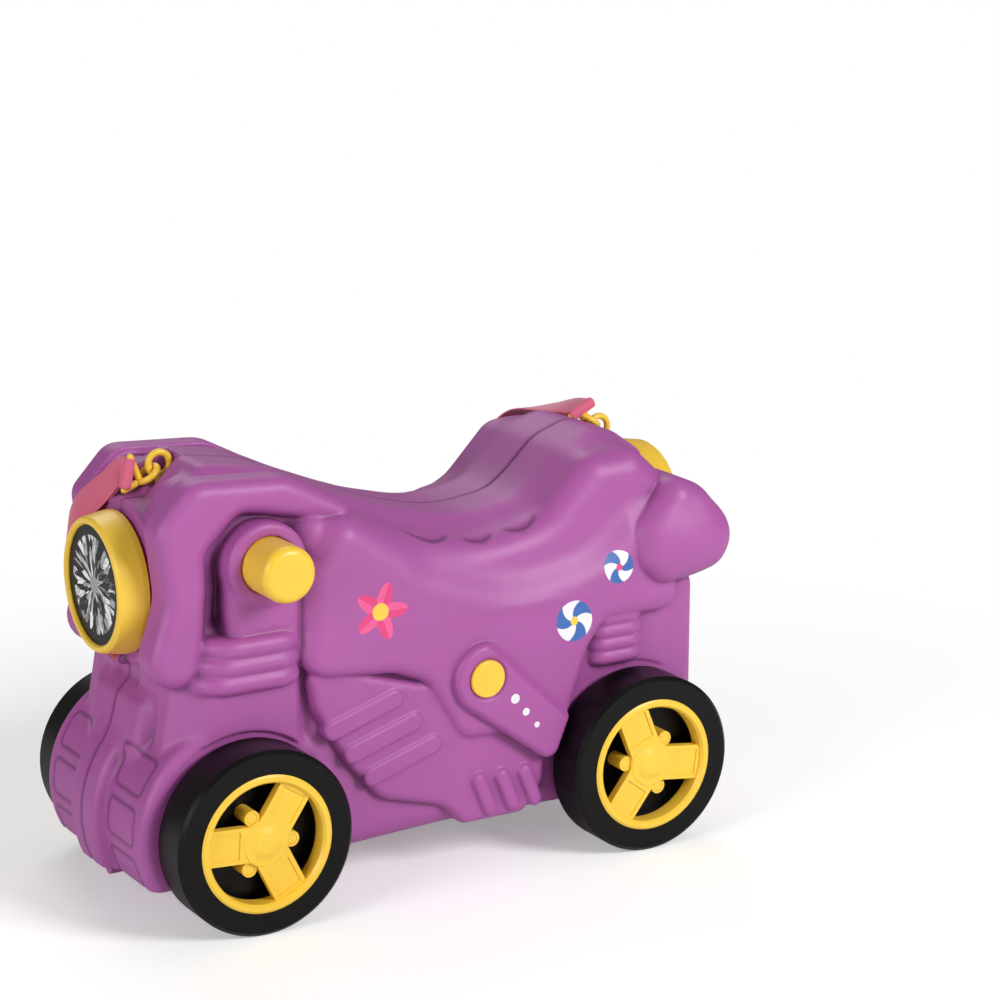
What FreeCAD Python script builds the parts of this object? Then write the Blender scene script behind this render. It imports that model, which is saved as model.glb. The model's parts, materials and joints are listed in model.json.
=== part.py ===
import FreeCAD, Part
import math
import os

os.makedirs("parts", exist_ok=True)
Vector = FreeCAD.Vector

# Ride-on clamshell case shaped like a toy motorcycle
# Millimetres: +X points to the rear, +Y to the rider's right, +Z up, and the floor is Z = 0
# Wheels and track
TYRE_RADIUS = 65.0
TYRE_WIDTH = 34.0
TRACK_OUTER = 234.0
WHEELBASE = 310.0
RIM_RADIUS = 48.4
RIM_DEPTH = 12.0
AXLE_RADIUS = 5.0
WHEEL_RUNNING_FIT = 0.06
WHEEL_SIDE_GAP = 4.0
ARCH_GAP = 4.0

# Case
WALL = 2.6
PARTING_GAP = 0.4
FLOOR_HEIGHT = 31.0
HEAD_SETBACK = 21.0
POD_RISE = 10.0
ENGINE_RISE = 7.0
ARM_RISE = 17.0
TAIL_RISE = 18.0
FENDER_RADIUS = 74.0
FLANGE_RADIUS = 82.0
FLANGE_DEPTH = 20.0

# Hinge under the floor
HINGE_HEIGHT = 23.5
KNUCKLE_RADIUS = 5.5
KNUCKLE_COUNT = 7
KNUCKLE_GAP = 0.5
HINGE_PIN_RADIUS = 2.0
PIN_FIT = 0.05

# Lamps, which are also the latches
LAMP_HEIGHT = 226.0
LAMP_RADIUS = TRACK_OUTER / 5
LAMP_FLARE = 2.5
LAMP_DEPTH = 21.0
LAMP_LIP = 5.5
LAMP_DISC_RECESS = 2.5
LATCH_PLATE = 3.0
LATCH_GAP = 0.5
LATCH_PIN_RADIUS = 2.0
LATCH_LUG_WIDTH = 12.0
LATCH_EAR = 4.0
COLLAR_RADIUS = 56.0
COLLAR_DEPTH = 12.0

# Grips and buttons
GRIP_RADIUS = 19.5
GRIP_RISE = 21.0
GRIP_BOSS_RADIUS = 28.0
GRIP_SEAT = 3.0
BUTTON_RADIUS = 13.5
BUTTON_PROUD = 3.0
SCREW_RADIUS = 2.0

# Strap
STRAP_WIDTH = 26.0
STRAP_THICKNESS = 1.6
STRAP_GAP = 0.5
RING_WIRE = 2.4

FRONT = -0.497 * WHEELBASE
REAR = FRONT + WHEELBASE
SPAN = WHEELBASE / 310
BODY_DEPTH = TRACK_OUTER / 2 - TYRE_WIDTH - WHEEL_SIDE_GAP
HEAD_DEPTH = BODY_DEPTH - HEAD_SETBACK
SPINE_DEPTH = HEAD_DEPTH - 16
POD_DEPTH = BODY_DEPTH + POD_RISE
ENGINE_DEPTH = BODY_DEPTH + ENGINE_RISE
ARM_DEPTH = BODY_DEPTH + ARM_RISE
TAIL_DEPTH = BODY_DEPTH + TAIL_RISE
HEAD_FRONT = FRONT - 43.0
TAIL_BACK = REAR + 42.0
GRIP_X = FRONT + 21.0
GRIP_HEIGHT = LAMP_HEIGHT + GRIP_RISE
BUTTON_X = 29 * SPAN
BUTTON_Z = LAMP_HEIGHT - 81
FAR = 400.0
Y_AXIS = Vector(0, 1, 0)
X_AXIS = Vector(1, 0, 0)
Z_AXIS = Vector(0, 0, 1)

# Lamp latches
COLLAR_PROUD = 3.0
REAR_COLLAR_RADIUS = 50.0
TONGUE_LENGTH = 10.0
TONGUE_WIDTH = 18.0
TONGUE_THICKNESS = 4.0
TONGUE_RISE = 30.0
TONGUE_ROOM = 1.5
LUG_Y = 5.0
LUG_RADIUS = 4.0
EAR_GAP = 0.3
PIVOT_HEIGHT = LAMP_HEIGHT - LAMP_RADIUS - LAMP_FLARE - 6

# Bosses and hinge
HINGE_START = FRONT - 64
HINGE_END = REAR + 30
AXLE_BOSS_RADIUS = 12.0
AXLE_BOSS_START = BODY_DEPTH - 23
AXLE_END_GAP = 0.4
AXLE_RIB_REACH = 28.0
AXLE_RIB_STEP = 6.0
RIB = 2.4
SCREW_BOSS_RADIUS = 7.0
GRIP_SEAT_FIT = 0.6
BUTTON_STEM_RADIUS = 6.0
BUTTON_STEM = 8.0

# Wheels, along Y from the outer face of the tyre inwards
TYRE_BEVEL = 2.5
TYRE_WALL = 4.0
RIM_FIT = 0.1
RIM_WALL = 6.0
RIM_PROUD = 1.0
WEB_START = 20.0
WEB = 3.5
SLEEVE_RADIUS = 10.0
SLEEVE_START = 16.0
SPOKE_WIDTH = 25.0
SPOKE_START = 2.5
SPOKE_THICKNESS = 6.0
HUB_RADIUS = 17.0
HUB_DOME = 12.0
HUB_BACK = 9.0
SPOKE_BORDER = 3.0
RIM_SCREW_PLACE = 20.5
SCREW_SINK = 2.0
HEAD_FIT = 0.2
RIM_BOSS_RADIUS = 5.5
AXLE_TIP = 11.0
CLIP_THICKNESS = 1.2
CLIP_GAP = 0.4
CLIP_PLACE = SLEEVE_START - CLIP_THICKNESS - CLIP_GAP
CLIP_RADIUS = 9.0
AXLE_HEAD = 3.0
AXLE_HEAD_RADIUS = 9.0
SPOKES = 3
FRONT_RIM_TURN = 64.0
REAR_RIM_TURN = 8.0

# Screws, eyes, hooks and strap
SCREW_HEAD = 2.2
SCREW_HEAD_RADIUS = 3.6
GRIP_SCREW_HEAD = 5.0
GRIP_SCREW_BITE = 16.0
GRIP_ROUND = 6.0
EYE_RADIUS = 8.0
EYE_POST = 3.0
EYE_POST_LENGTH = 8.0
HOOK_RADIUS = 7.5
EYE_Y = 11.0
HOOK_GAP = 0.3
HOOK_REACH = EYE_RADIUS + HOOK_RADIUS - 2 * RING_WIRE - HOOK_GAP
FRONT_EYE = Vector(FRONT - 13, EYE_Y, LAMP_HEIGHT + 75)
REAR_EYE = Vector(REAR + 34, EYE_Y, LAMP_HEIGHT + 59)
WELL_WIDTH = 24.0
EYE_WELLS = [(-FAR, FRONT - 2, LAMP_HEIGHT + 61), (REAR + 16, FAR, LAMP_HEIGHT + 46)]
FRONT_LEAN = Vector(-0.8, 0, -0.6)
REAR_LEAN = Vector(-0.8, 0, 0.6)
FRONT_BAR = [Vector(FRONT - 39, EYE_Y, LAMP_HEIGHT + 59.5), Vector(FRONT - 34, EYE_Y, LAMP_HEIGHT + 82)]
REAR_BAR = [Vector(REAR + 10, EYE_Y, LAMP_HEIGHT + 69.5), Vector(REAR + 28, EYE_Y, LAMP_HEIGHT + 78.5)]

# Route of the strap: places and the way that its outer face looks, with heights from the lamps' centres
STRAP_END = EYE_Y + RING_WIRE + STRAP_GAP
STRAP_SIDE = BODY_DEPTH + 24
STRAP_ROUTE = [
    (FRONT - 36.5, STRAP_END, 71, Vector(-1, 0, 0.22)),
    (FRONT - 36.5, STRAP_END + 4, 71, Vector(-1, 0, 0.22)),
    (FRONT - 48, STRAP_SIDE - 73, 62, Vector(-1, 0, 0.25)),
    (FRONT - 65, STRAP_SIDE - 49, 43, Vector(-1, 0.3, 0.2)),
    (FRONT - 62, STRAP_SIDE - 27, 22, Vector(-0.8, 0.7, 0.1)),
    (FRONT - 40, STRAP_SIDE - 16, 0, Vector(-0.3, 1, 0)),
    (FRONT - 6, STRAP_SIDE - 9, -20, Vector(0, 1, 0)),
    (-108 * SPAN, STRAP_SIDE - 5, -34, Vector(0, 1, 0)),
    (-52 * SPAN, STRAP_SIDE - 2, -50, Vector(0, 1, 0)),
    (6 * SPAN, STRAP_SIDE, -58, Vector(0, 1, 0)),
    (58 * SPAN, STRAP_SIDE, -58, Vector(0, 1, 0)),
    (104 * SPAN, STRAP_SIDE - 2, -44, Vector(0, 1, 0)),
    (REAR - 20, STRAP_SIDE - 3, -20, Vector(0, 1, 0)),
    (REAR - 7, STRAP_SIDE - 4, 12, Vector(0, 1, 0)),
    (REAR - 2, STRAP_SIDE - 9, 40, Vector(0, 1, 0.3)),
    (REAR + 6, STRAP_SIDE - 27, 63, Vector(0, 0.8, 0.8)),
    (REAR + 15, STRAP_SIDE - 57, 73, Vector(-0.2, 0.3, 1)),
    (REAR + 19, STRAP_END + 4, 74, Vector(-0.45, 0, 0.9)),
    (REAR + 19, STRAP_END, 74, Vector(-0.45, 0, 0.9)),
]

# Crossed elastics that hold the luggage in the right half
ELASTIC_WIDTH = 16.0
ELASTIC_THICKNESS = 1.2
ELASTIC_Y = 9.0
ELASTIC_STEP = 1.8
ANCHOR_DEPTH = 12.0
ANCHOR_REACH = 22.0
STUD_HEAD = 4.5
STUD_SHANK = 1.5
STUD_THICKNESS = 1.5
STUD_BITE = 6.0
RISING = [Vector(-84 * SPAN, 0, FLOOR_HEIGHT + 17), Vector(118 * SPAN, 0, LAMP_HEIGHT + 24)]
FALLING = [Vector(-62 * SPAN, 0, LAMP_HEIGHT + 32), Vector(112 * SPAN, 0, FLOOR_HEIGHT + 17)]

# Outlines of the left half's plateaus, as corners with x, z and corner radius
# The upper body keeps its place to the lamps' centres
LAMP = LAMP_HEIGHT
SPINE = [
    (HEAD_FRONT, LAMP + 46, 8), (FRONT - 29, LAMP + 56, 10), (FRONT - 4, LAMP + 81.5, 8),
    (FRONT + 44, LAMP + 74, 100 * SPAN), (-30 * SPAN, LAMP + 36, 150 * SPAN),
    (38 * SPAN, LAMP + 17.5, 120 * SPAN), (98 * SPAN, LAMP + 24, 70 * SPAN), (REAR - 6, LAMP + 67, 16),
    (REAR + 18, LAMP + 65, 14), (TAIL_BACK, LAMP + 48, 12), (TAIL_BACK, 70, 24),
    (REAR + 20, FLOOR_HEIGHT, 24), (FRONT - 40, FLOOR_HEIGHT, 20), (FRONT - 61, LAMP - 108, 10),
    (FRONT - 53, LAMP - 78, 8), (HEAD_FRONT, LAMP - 68, 6),
]
HEAD = [
    (HEAD_FRONT, LAMP - 50, 14), (HEAD_FRONT, LAMP + 40, 14), (FRONT - 26, LAMP + 74, 16),
    (FRONT + 62, LAMP + 62, 16), (FRONT + 62, 100, 14), (FRONT - 46, 100, 14),
]
BODY = [
    (FRONT + 44, LAMP + 58, 20), (-62 * SPAN, LAMP + 41, 90 * SPAN),
    (-16 * SPAN, LAMP + 21, 100 * SPAN), (38 * SPAN, LAMP + 10, 120 * SPAN), (88 * SPAN, LAMP + 19, 40),
    (REAR - 28, LAMP + 60, 20), (REAR + 12, LAMP + 62, 20), (TAIL_BACK, LAMP + 34, 20),
    (TAIL_BACK, 74, 24), (REAR + 18, FLOOR_HEIGHT, 24), (10 * SPAN, FLOOR_HEIGHT + 4, 400 * SPAN),
    (FRONT + 66, FLOOR_HEIGHT, 24), (FRONT + 44, 80, 24),
]
POD = [
    (FRONT + 46, LAMP - 60, 18), (FRONT + 48, LAMP + 13, 18), (FRONT + 78, LAMP + 50, 16),
    (-14 * SPAN, LAMP - 2, 60 * SPAN), (56 * SPAN, LAMP - 27, 120 * SPAN),
    (128 * SPAN, LAMP - 14, 80 * SPAN), (REAR + 26, LAMP + 32, 17), (TAIL_BACK - 2, LAMP + 10, 17),
    (TAIL_BACK - 2, LAMP - 54, 17), (REAR - 26, LAMP - 54, 17), (REAR - 40, LAMP - 74, 17),
    (98 * SPAN, LAMP - 126, 17), (14 * SPAN, LAMP - 124, 17), (-14 * SPAN, LAMP - 76, 24),
    (-40 * SPAN, LAMP - 66, 24),
]
ENGINE = [
    (FRONT + 48, LAMP - 54, 8), (FRONT + 54, LAMP - 86, 30), (-76 * SPAN, LAMP - 128, 40),
    (-50 * SPAN, 68, 24), (0, 54, 20), (16 * SPAN, 37, 9), (66 * SPAN, 37, 9), (82 * SPAN, 58, 9),
    (84 * SPAN, 110, 9), (0, LAMP - 86, 9),
]
ARM = [
    (BUTTON_X - 35.4, BUTTON_Z - 4, 24), (BUTTON_X - 2, BUTTON_Z + 35.5, 24),
    (BUTTON_X + 70, BUTTON_Z - 34.5, 8), (BUTTON_X + 55, BUTTON_Z - 71, 8),
]
FAIRING = [
    (FRONT - 59, LAMP - 50, 10), (FRONT - 44, LAMP, 40), (FRONT - 52, LAMP + 50, 12),
    (FRONT - 26, LAMP + 78, 16), (FRONT + 42, LAMP + 74, 30), (FRONT + 92, LAMP + 48, 4.2),
    (FRONT + 83, LAMP + 42, 5), (FRONT + 6, LAMP + 59, 12), (FRONT - 25, LAMP + 34, 12),
    (FRONT - 27, LAMP + 4, 30), (FRONT - 34, LAMP - 28, 30), (FRONT - 36, LAMP - 58, 10),
]
TAIL = [
    (REAR + 33, LAMP + 42, 15), (REAR + 60, LAMP + 30, 22), (REAR + 81.5, LAMP - 8, 16),
    (REAR + 75, LAMP - 27, 15), (REAR + 20, LAMP - 38, 17), (REAR + 1, LAMP - 18, 15.5),
    (REAR + 6, LAMP + 2, 15.5), (REAR + 27, LAMP + 16, 12),
]
HAUNCH = [
    (REAR, LAMP - 26, 12), (REAR + 60, LAMP - 34, 12), (REAR + 60, 92, 20),
    (REAR + 34, FLOOR_HEIGHT + 3, 20), (REAR, FLOOR_HEIGHT + 3, 12),
]
# Facets of the fork: corners with x and z
SKIRT = [
    (FRONT - 34, LAMP - 20), (FRONT + 62, LAMP - 20), (FRONT + 62, 96), (FRONT - 54, 96),
]
COLUMN = [
    (GRIP_X - 26, GRIP_HEIGHT), (GRIP_X + 26, GRIP_HEIGHT),
    (GRIP_X + 26, LAMP - 44), (GRIP_X - 26, LAMP - 44),
]
SPINE_EDGE = 12.0
HEAD_EDGE = 10.0
HEAD_START = 24.0
BODY_EDGE = 18.0
POD_EDGE = 15.0
ENGINE_EDGE = 5.0
ARM_BEVEL = 6.5
FAIRING_EDGE = 3.5
TAIL_EDGE = 14.0
HAUNCH_EDGE = 10.0
FENDER_EDGE = 7.0
FAIRING_DEPTH = HEAD_DEPTH + 15
FAIRING_START = LAMP_RADIUS + LAMP_FLARE + 2
SKIRT_DEPTH = BODY_DEPTH + 3
SKIRT_BEVEL = 22.0
COLUMN_DEPTH = BODY_DEPTH + 2.5
COLUMN_BEVEL = 5.0
COLUMN_SPACE = 18.0
TAIL_START = FAIRING_START
RIB_DEPTH = BODY_DEPTH + 9
FORK_RIBS = 3
FORK_RIB_PITCH = 12.0
FORK_RIB_LOWEST = LAMP - 58
FORK_RIB_FLARE = 4.0
SHOCK_RIBS = 4
SHOCK_RIB_PITCH = 9.5
SHOCK_RIB_LOWEST = LAMP - 85.5
RIB_OVERLAP = 0.4
FINGER_WIDTH = 12.0
FINGER_RISE = 2.0
BOSS_DEPTH = BODY_DEPTH + 5


def export(shape, name):
    """Write one piece, as a single solid or a group of solids."""
    shape.exportStep("parts/" + name + ".step")


def corner(before, point, after, radius):
    """Start, middle and end of the arc that rounds one corner of an outline."""
    to_before = (before - point).normalize()
    to_after = (after - point).normalize()
    half = to_before.getAngle(to_after) / 2
    reach = radius / math.tan(half)
    inward = (to_before + to_after).normalize()
    middle = point + inward * (radius / math.sin(half) - radius)
    return point + to_before * reach, middle, point + to_after * reach


def outline(points, y=0.0):
    """Closed wire in an upright plane from corners given as x, z and corner radius."""
    places = [Vector(x, y, z) for x, z, radius in points]
    edges = []
    joins = []
    for i, (x, z, radius) in enumerate(points):
        after = places[(i + 1) % len(places)]
        joins.append(corner(places[i - 1], places[i], after, radius))
    for i, (start, middle, end) in enumerate(joins):
        edges.append(Part.Arc(start, middle, end).toShape())
        following = joins[(i + 1) % len(joins)][0]
        edges.append(Part.LineSegment(end, following).toShape())
    return Part.Wire(edges)


def outer_edges(solid, depth):
    """Edges that lie in the outer face of a layer."""
    return [e for e in solid.Edges if e.BoundBox.YMax < -depth + 0.01]


def layer(points, depth, edge, start=PARTING_GAP / 2):
    """A plateau on the left half: an outline drawn out sideways, with its outer edge rounded."""
    solid = prism(points, depth, start)
    return solid.makeFillet(edge, outer_edges(solid, depth))


def prism(points, depth, start=PARTING_GAP / 2):
    """An outline drawn out sideways to a depth on the left half."""
    return Part.Face(outline(points, -start)).extrude(Vector(0, start - depth, 0))


def faceted(points, depth, bevel, start):
    """A plateau with sharp corners and a flat bevel all round its outer face."""
    base = Part.makePolygon([Vector(x, -start, z) for x, z in points + points[:1]])
    rim = Part.makePolygon([Vector(x, bevel - depth, z) for x, z in points + points[:1]])
    top = Part.Face(rim).makeOffset2D(-bevel, 2).OuterWire
    top.translate(Vector(0, -bevel, 0))
    body = Part.Face(base).extrude(Vector(0, start + bevel - depth, 0))
    return body.fuse(Part.makeLoft([rim, top], True, True))


def hollow(points, depth, edge, start=-WALL):
    """The space inside a layer, one wall thickness in from it."""
    face = Part.Face(outline(points, -start - WALL)).makeOffset2D(-WALL)
    solid = face.extrude(Vector(0, start + WALL + WALL - depth, 0))
    return solid.makeFillet(edge - WALL, outer_edges(solid, depth - WALL))


def disc(radius, x, z, depth, edge, start=PARTING_GAP / 2):
    """A round plateau on the left half about a sideways axis."""
    solid = Part.makeCylinder(radius, depth - start, Vector(x, -start, z), -Y_AXIS)
    return solid.makeFillet(edge, outer_edges(solid, depth))


def rod(radius, length, base, direction):
    return Part.makeCylinder(radius, length, base, direction)


def block(x0, x1, y0, y1, z0, z1):
    return Part.makeBox(x1 - x0, y1 - y0, z1 - z0, Vector(x0, y0, z0))


def turned(profile, base, axis):
    """Solid of revolution about an axis from corners given as radius and height along it."""
    side = X_AXIS if abs(axis.x) < 0.9 else Z_AXIS
    across = (side - axis * side.dot(axis)).normalize()
    places = [base + across * r + axis * h for r, h in profile]
    face = Part.Face(Part.makePolygon(places + places[:1]))
    return face.revolve(base, axis, 360)


def mirrored(shape):
    """The same piece on the other side of the mid-plane."""
    return shape.mirror(Vector(0, 0, 0), Y_AXIS)


def on_side(shape, side):
    return shape if side == "left" else mirrored(shape)


def rib(x0, x1, back, z, thickness, corner_radius):
    """A level bar with a round outer edge, one fold of a gaiter."""
    bar = block(x0, x1, -RIB_DEPTH, -back, z - thickness / 2, z + thickness / 2)
    upright = [e for e in bar.Edges if e.BoundBox.ZLength > 1 and e.BoundBox.YMax < 0.01 - RIB_DEPTH]
    bar = bar.makeFillet(corner_radius, upright)
    rims = [e for e in bar.Edges if e.BoundBox.ZLength < 0.01 and e.BoundBox.YMin < -back - 0.01]
    return bar.makeFillet(thickness / 2 - RIB_OVERLAP / 2, rims)


def gaiters():
    """Folds of the front fork, which widen downwards, and of the rear shock absorber."""
    folds = []
    for i in range(FORK_RIBS):
        flare = FORK_RIB_FLARE * (FORK_RIBS - 1 - i)
        z = FORK_RIB_LOWEST + FORK_RIB_PITCH * i
        left = GRIP_X - 31 - flare
        folds.append(rib(left, GRIP_X + 27, HEAD_DEPTH - 8, z, FORK_RIB_PITCH + RIB_OVERLAP, 20))
    for i in range(SHOCK_RIBS):
        z = SHOCK_RIB_LOWEST + SHOCK_RIB_PITCH * i
        folds.append(rib(REAR - 34, REAR + 12, BODY_DEPTH - 12, z, SHOCK_RIB_PITCH + RIB_OVERLAP, 14))
    return folds


def finger(x0, z0, x1, z1, width, depth, edge):
    """A raised bar with round ends between two points of the left side."""
    slope = math.atan2(z1 - z0, x1 - x0)
    over = Vector(-math.sin(slope), 0, math.cos(slope)) * (width / 2)
    along = Vector(math.cos(slope), 0, math.sin(slope)) * (width / 2)
    first = Vector(x0, -PARTING_GAP, z0)
    last = Vector(x1, -PARTING_GAP, z1)
    wire = Part.Wire([
        Part.LineSegment(first - over, last - over).toShape(),
        Part.Arc(last - over, last + along, last + over).toShape(),
        Part.LineSegment(last + over, first + over).toShape(),
        Part.Arc(first + over, first - along, first - over).toShape(),
    ])
    solid = Part.Face(wire).extrude(Vector(0, PARTING_GAP - depth, 0))
    return solid.makeFillet(edge, outer_edges(solid, depth))


def left_form():
    """The solid outer form of the left half, before it is hollowed."""
    floor_cut = block(-FAR, FAR, -FAR, FAR, -FAR, FLOOR_HEIGHT)
    arm = prism(ARM, ARM_DEPTH)
    forms = [
        layer(SPINE, SPINE_DEPTH, SPINE_EDGE),
        layer(HEAD, HEAD_DEPTH, HEAD_EDGE, HEAD_START),
        layer(BODY, BODY_DEPTH, BODY_EDGE),
        layer(POD, POD_DEPTH, POD_EDGE),
        layer(ENGINE, ENGINE_DEPTH, ENGINE_EDGE),
        arm.makeChamfer(ARM_BEVEL, outer_edges(arm, ARM_DEPTH)),
        layer(FAIRING, FAIRING_DEPTH, FAIRING_EDGE, FAIRING_START),
        faceted(SKIRT, SKIRT_DEPTH, SKIRT_BEVEL, HEAD_DEPTH - 8),
        faceted(COLUMN, COLUMN_DEPTH, COLUMN_BEVEL, HEAD_DEPTH - 8),
        layer(TAIL, TAIL_DEPTH, TAIL_EDGE, TAIL_START),
        layer(HAUNCH, BODY_DEPTH, HAUNCH_EDGE, TAIL_START),
        disc(FENDER_RADIUS, FRONT, TYRE_RADIUS, BODY_DEPTH, FENDER_EDGE).cut(floor_cut),
        disc(FLANGE_RADIUS, FRONT, TYRE_RADIUS, FLANGE_DEPTH, ENGINE_EDGE).cut(floor_cut),
        disc(GRIP_BOSS_RADIUS, GRIP_X, GRIP_HEIGHT, BOSS_DEPTH, 3),
        half_collar(FRONT_LAMP, COLLAR_RADIUS),
        half_collar(REAR_LAMP, REAR_COLLAR_RADIUS),
    ]
    forms += gaiters()
    for i in range(3):
        x = -88 * SPAN + 15 * i
        z = LAMP - 102 - 19 * i
        forms.append(finger(x, z, x + 48, z + 15, FINGER_WIDTH, ENGINE_DEPTH + FINGER_RISE, 1.8))
    for i in range(3):
        x = 27 * SPAN + 19 * i
        forms.append(finger(x, 68, x + 9, 46, 9, ENGINE_DEPTH + FINGER_RISE * 2, 3))
    body = forms[0].multiFuse(forms[1:])
    for axle_x in (FRONT, REAR):
        base = Vector(axle_x, -BODY_DEPTH, TYRE_RADIUS)
        body = body.cut(rod(TYRE_RADIUS + ARCH_GAP, FAR, base, -Y_AXIS))
    return body


def left_space():
    """The luggage space of the left half, one wall in from the outer form."""
    above_floor = block(-FAR, FAR, -FAR, FAR, FLOOR_HEIGHT + WALL, FAR)
    fender = rod(FENDER_RADIUS - WALL, BODY_DEPTH, Vector(FRONT, WALL, TYRE_RADIUS), -Y_AXIS)
    grip_base = Vector(GRIP_X, -WALL, GRIP_HEIGHT)
    grip_ring = rod(GRIP_BOSS_RADIUS - WALL, BOSS_DEPTH - GRIP_SEAT - 2 * WALL, grip_base, -Y_AXIS)
    deep = -BODY_DEPTH + WALL
    foot = TYRE_RADIUS + 60
    column = block(GRIP_X - COLUMN_SPACE, GRIP_X + COLUMN_SPACE, deep, -SPINE_DEPTH, foot, GRIP_HEIGHT)
    spaces = [
        hollow(SPINE, SPINE_DEPTH, SPINE_EDGE),
        hollow(HEAD, HEAD_DEPTH, HEAD_EDGE, HEAD_START),
        hollow(BODY, BODY_DEPTH, BODY_EDGE),
        hollow(POD, POD_DEPTH, POD_EDGE),
        hollow(TAIL, TAIL_DEPTH, TAIL_EDGE, TAIL_START),
        hollow(HAUNCH, BODY_DEPTH, HAUNCH_EDGE, TAIL_START),
        fender.common(above_floor),
        grip_ring,
        column,
    ]
    return spaces[0].multiFuse(spaces[1:])


def lamp_places(face, out):
    """Named places along X of one lamp latch; out is -1 at the front and 1 at the rear."""
    back = face + out * (COLLAR_PROUD + LATCH_GAP)
    return {
        "out": out,
        "face": face,
        "collar": face + out * COLLAR_PROUD,
        "back": back,
        "plate": back + out * LATCH_PLATE,
        "front": back + out * (LATCH_PLATE + LAMP_DEPTH),
        "pivot": back + out * LATCH_PLATE / 2,
    }


FRONT_LAMP = lamp_places(HEAD_FRONT, -1)
REAR_LAMP = lamp_places(TAIL_BACK, 1)


def half_collar(lamp, radius):
    """Round housing behind a lamp, cut off at the parting plane."""
    base = Vector(lamp["face"] - lamp["out"] * COLLAR_DEPTH, 0, LAMP_HEIGHT)
    full = rod(radius, COLLAR_DEPTH + COLLAR_PROUD, base, X_AXIS * lamp["out"])
    return full.common(block(-FAR, FAR, -FAR, -PARTING_GAP / 2, -FAR, FAR))


def knuckle_span(i):
    """Start and end along X of one hinge knuckle."""
    pitch = (HINGE_END - HINGE_START) / KNUCKLE_COUNT
    start = HINGE_START + pitch * i
    return start, start + pitch - KNUCKLE_GAP


def knuckles(indexes):
    """Knuckles of the left half with the webs that carry them."""
    pieces = []
    for i in indexes:
        start, end = knuckle_span(i)
        barrel = rod(KNUCKLE_RADIUS, end - start, Vector(start, 0, HINGE_HEIGHT), X_AXIS)
        web = block(start, end, -KNUCKLE_RADIUS, -PARTING_GAP / 2, HINGE_HEIGHT, FLOOR_HEIGHT + WALL / 2)
        pieces += [barrel, web]
    return pieces


def left_shell_base(form, knuckle_indexes):
    """Hollow left half with its axle bosses, grip seat, button hole and hinge knuckles."""
    shell = form.cut(left_space())
    added = knuckles(knuckle_indexes)
    grip_inner = Vector(GRIP_X, -HEAD_DEPTH + WALL, GRIP_HEIGHT)
    added.append(rod(SCREW_BOSS_RADIUS, BOSS_DEPTH - HEAD_DEPTH, grip_inner, -Y_AXIS))
    boss_end = BODY_DEPTH + WHEEL_SIDE_GAP - AXLE_END_GAP
    rib_deep = -BODY_DEPTH + WALL / 2
    rib_shallow = -AXLE_BOSS_START - AXLE_RIB_STEP
    for axle_x in (FRONT, REAR):
        inner = Vector(axle_x, -AXLE_BOSS_START, TYRE_RADIUS)
        added.append(rod(AXLE_BOSS_RADIUS, boss_end - AXLE_BOSS_START, inner, -Y_AXIS))
        for turn in (0, 90):
            rib = block(-AXLE_RIB_REACH, AXLE_RIB_REACH, rib_deep, rib_shallow, -RIB / 2, RIB / 2)
            rib.rotate(Vector(0, 0, 0), Y_AXIS, turn)
            rib.translate(Vector(axle_x, 0, TYRE_RADIUS))
            added.append(rib)
    shell = shell.multiFuse(added)
    stem_base = Vector(BUTTON_X, -ARM_DEPTH + BUTTON_STEM + PIN_FIT, BUTTON_Z)
    cuts = [
        rod(GRIP_RADIUS + GRIP_SEAT_FIT, FAR, Vector(GRIP_X, -BOSS_DEPTH + GRIP_SEAT, GRIP_HEIGHT), -Y_AXIS),
        rod(SCREW_RADIUS + PIN_FIT, FAR, Vector(GRIP_X, 0, GRIP_HEIGHT), -Y_AXIS),
        rod(BUTTON_STEM_RADIUS + PIN_FIT, FAR, stem_base, -Y_AXIS),
        rod(HINGE_PIN_RADIUS + PIN_FIT, 2 * FAR, Vector(-FAR, 0, HINGE_HEIGHT), X_AXIS),
        tongue_pocket(FRONT_LAMP),
        tongue_pocket(REAR_LAMP),
    ]
    for axle_x in (FRONT, REAR):
        cuts.append(rod(AXLE_RADIUS + PIN_FIT, FAR, Vector(axle_x, 0, TYRE_RADIUS), -Y_AXIS))
    return shell.cut(cuts[0].multiFuse(cuts[1:]))


def tongue_pocket(lamp):
    """Room in the housing for the tongue of a lamp latch."""
    deep = lamp["face"] - lamp["out"] * (TONGUE_LENGTH + 2)
    shallow = lamp["face"] + lamp["out"] * FAR
    half = TONGUE_WIDTH / 2 + TONGUE_ROOM
    low = LAMP_HEIGHT + TONGUE_RISE - TONGUE_ROOM
    high = LAMP_HEIGHT + TONGUE_RISE + TONGUE_THICKNESS + 2.5 * TONGUE_ROOM
    return block(min(deep, shallow), max(deep, shallow), -half, half, low, high)


def latch_ears(lamp):
    """Two ears on the right half that carry a lamp latch's pin."""
    pieces = []
    for y in (LUG_Y - LATCH_EAR - EAR_GAP, LUG_Y + LATCH_LUG_WIDTH + EAR_GAP):
        ear = rod(LUG_RADIUS, LATCH_EAR, Vector(lamp["pivot"], y, PIVOT_HEIGHT), Y_AXIS)
        root = lamp["face"] - lamp["out"] * WALL
        web = block(min(lamp["pivot"], root), max(lamp["pivot"], root), y, y + LATCH_EAR,
                    PIVOT_HEIGHT - LUG_RADIUS, PIVOT_HEIGHT + LUG_RADIUS)
        pieces += [ear, web]
    return pieces


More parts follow.
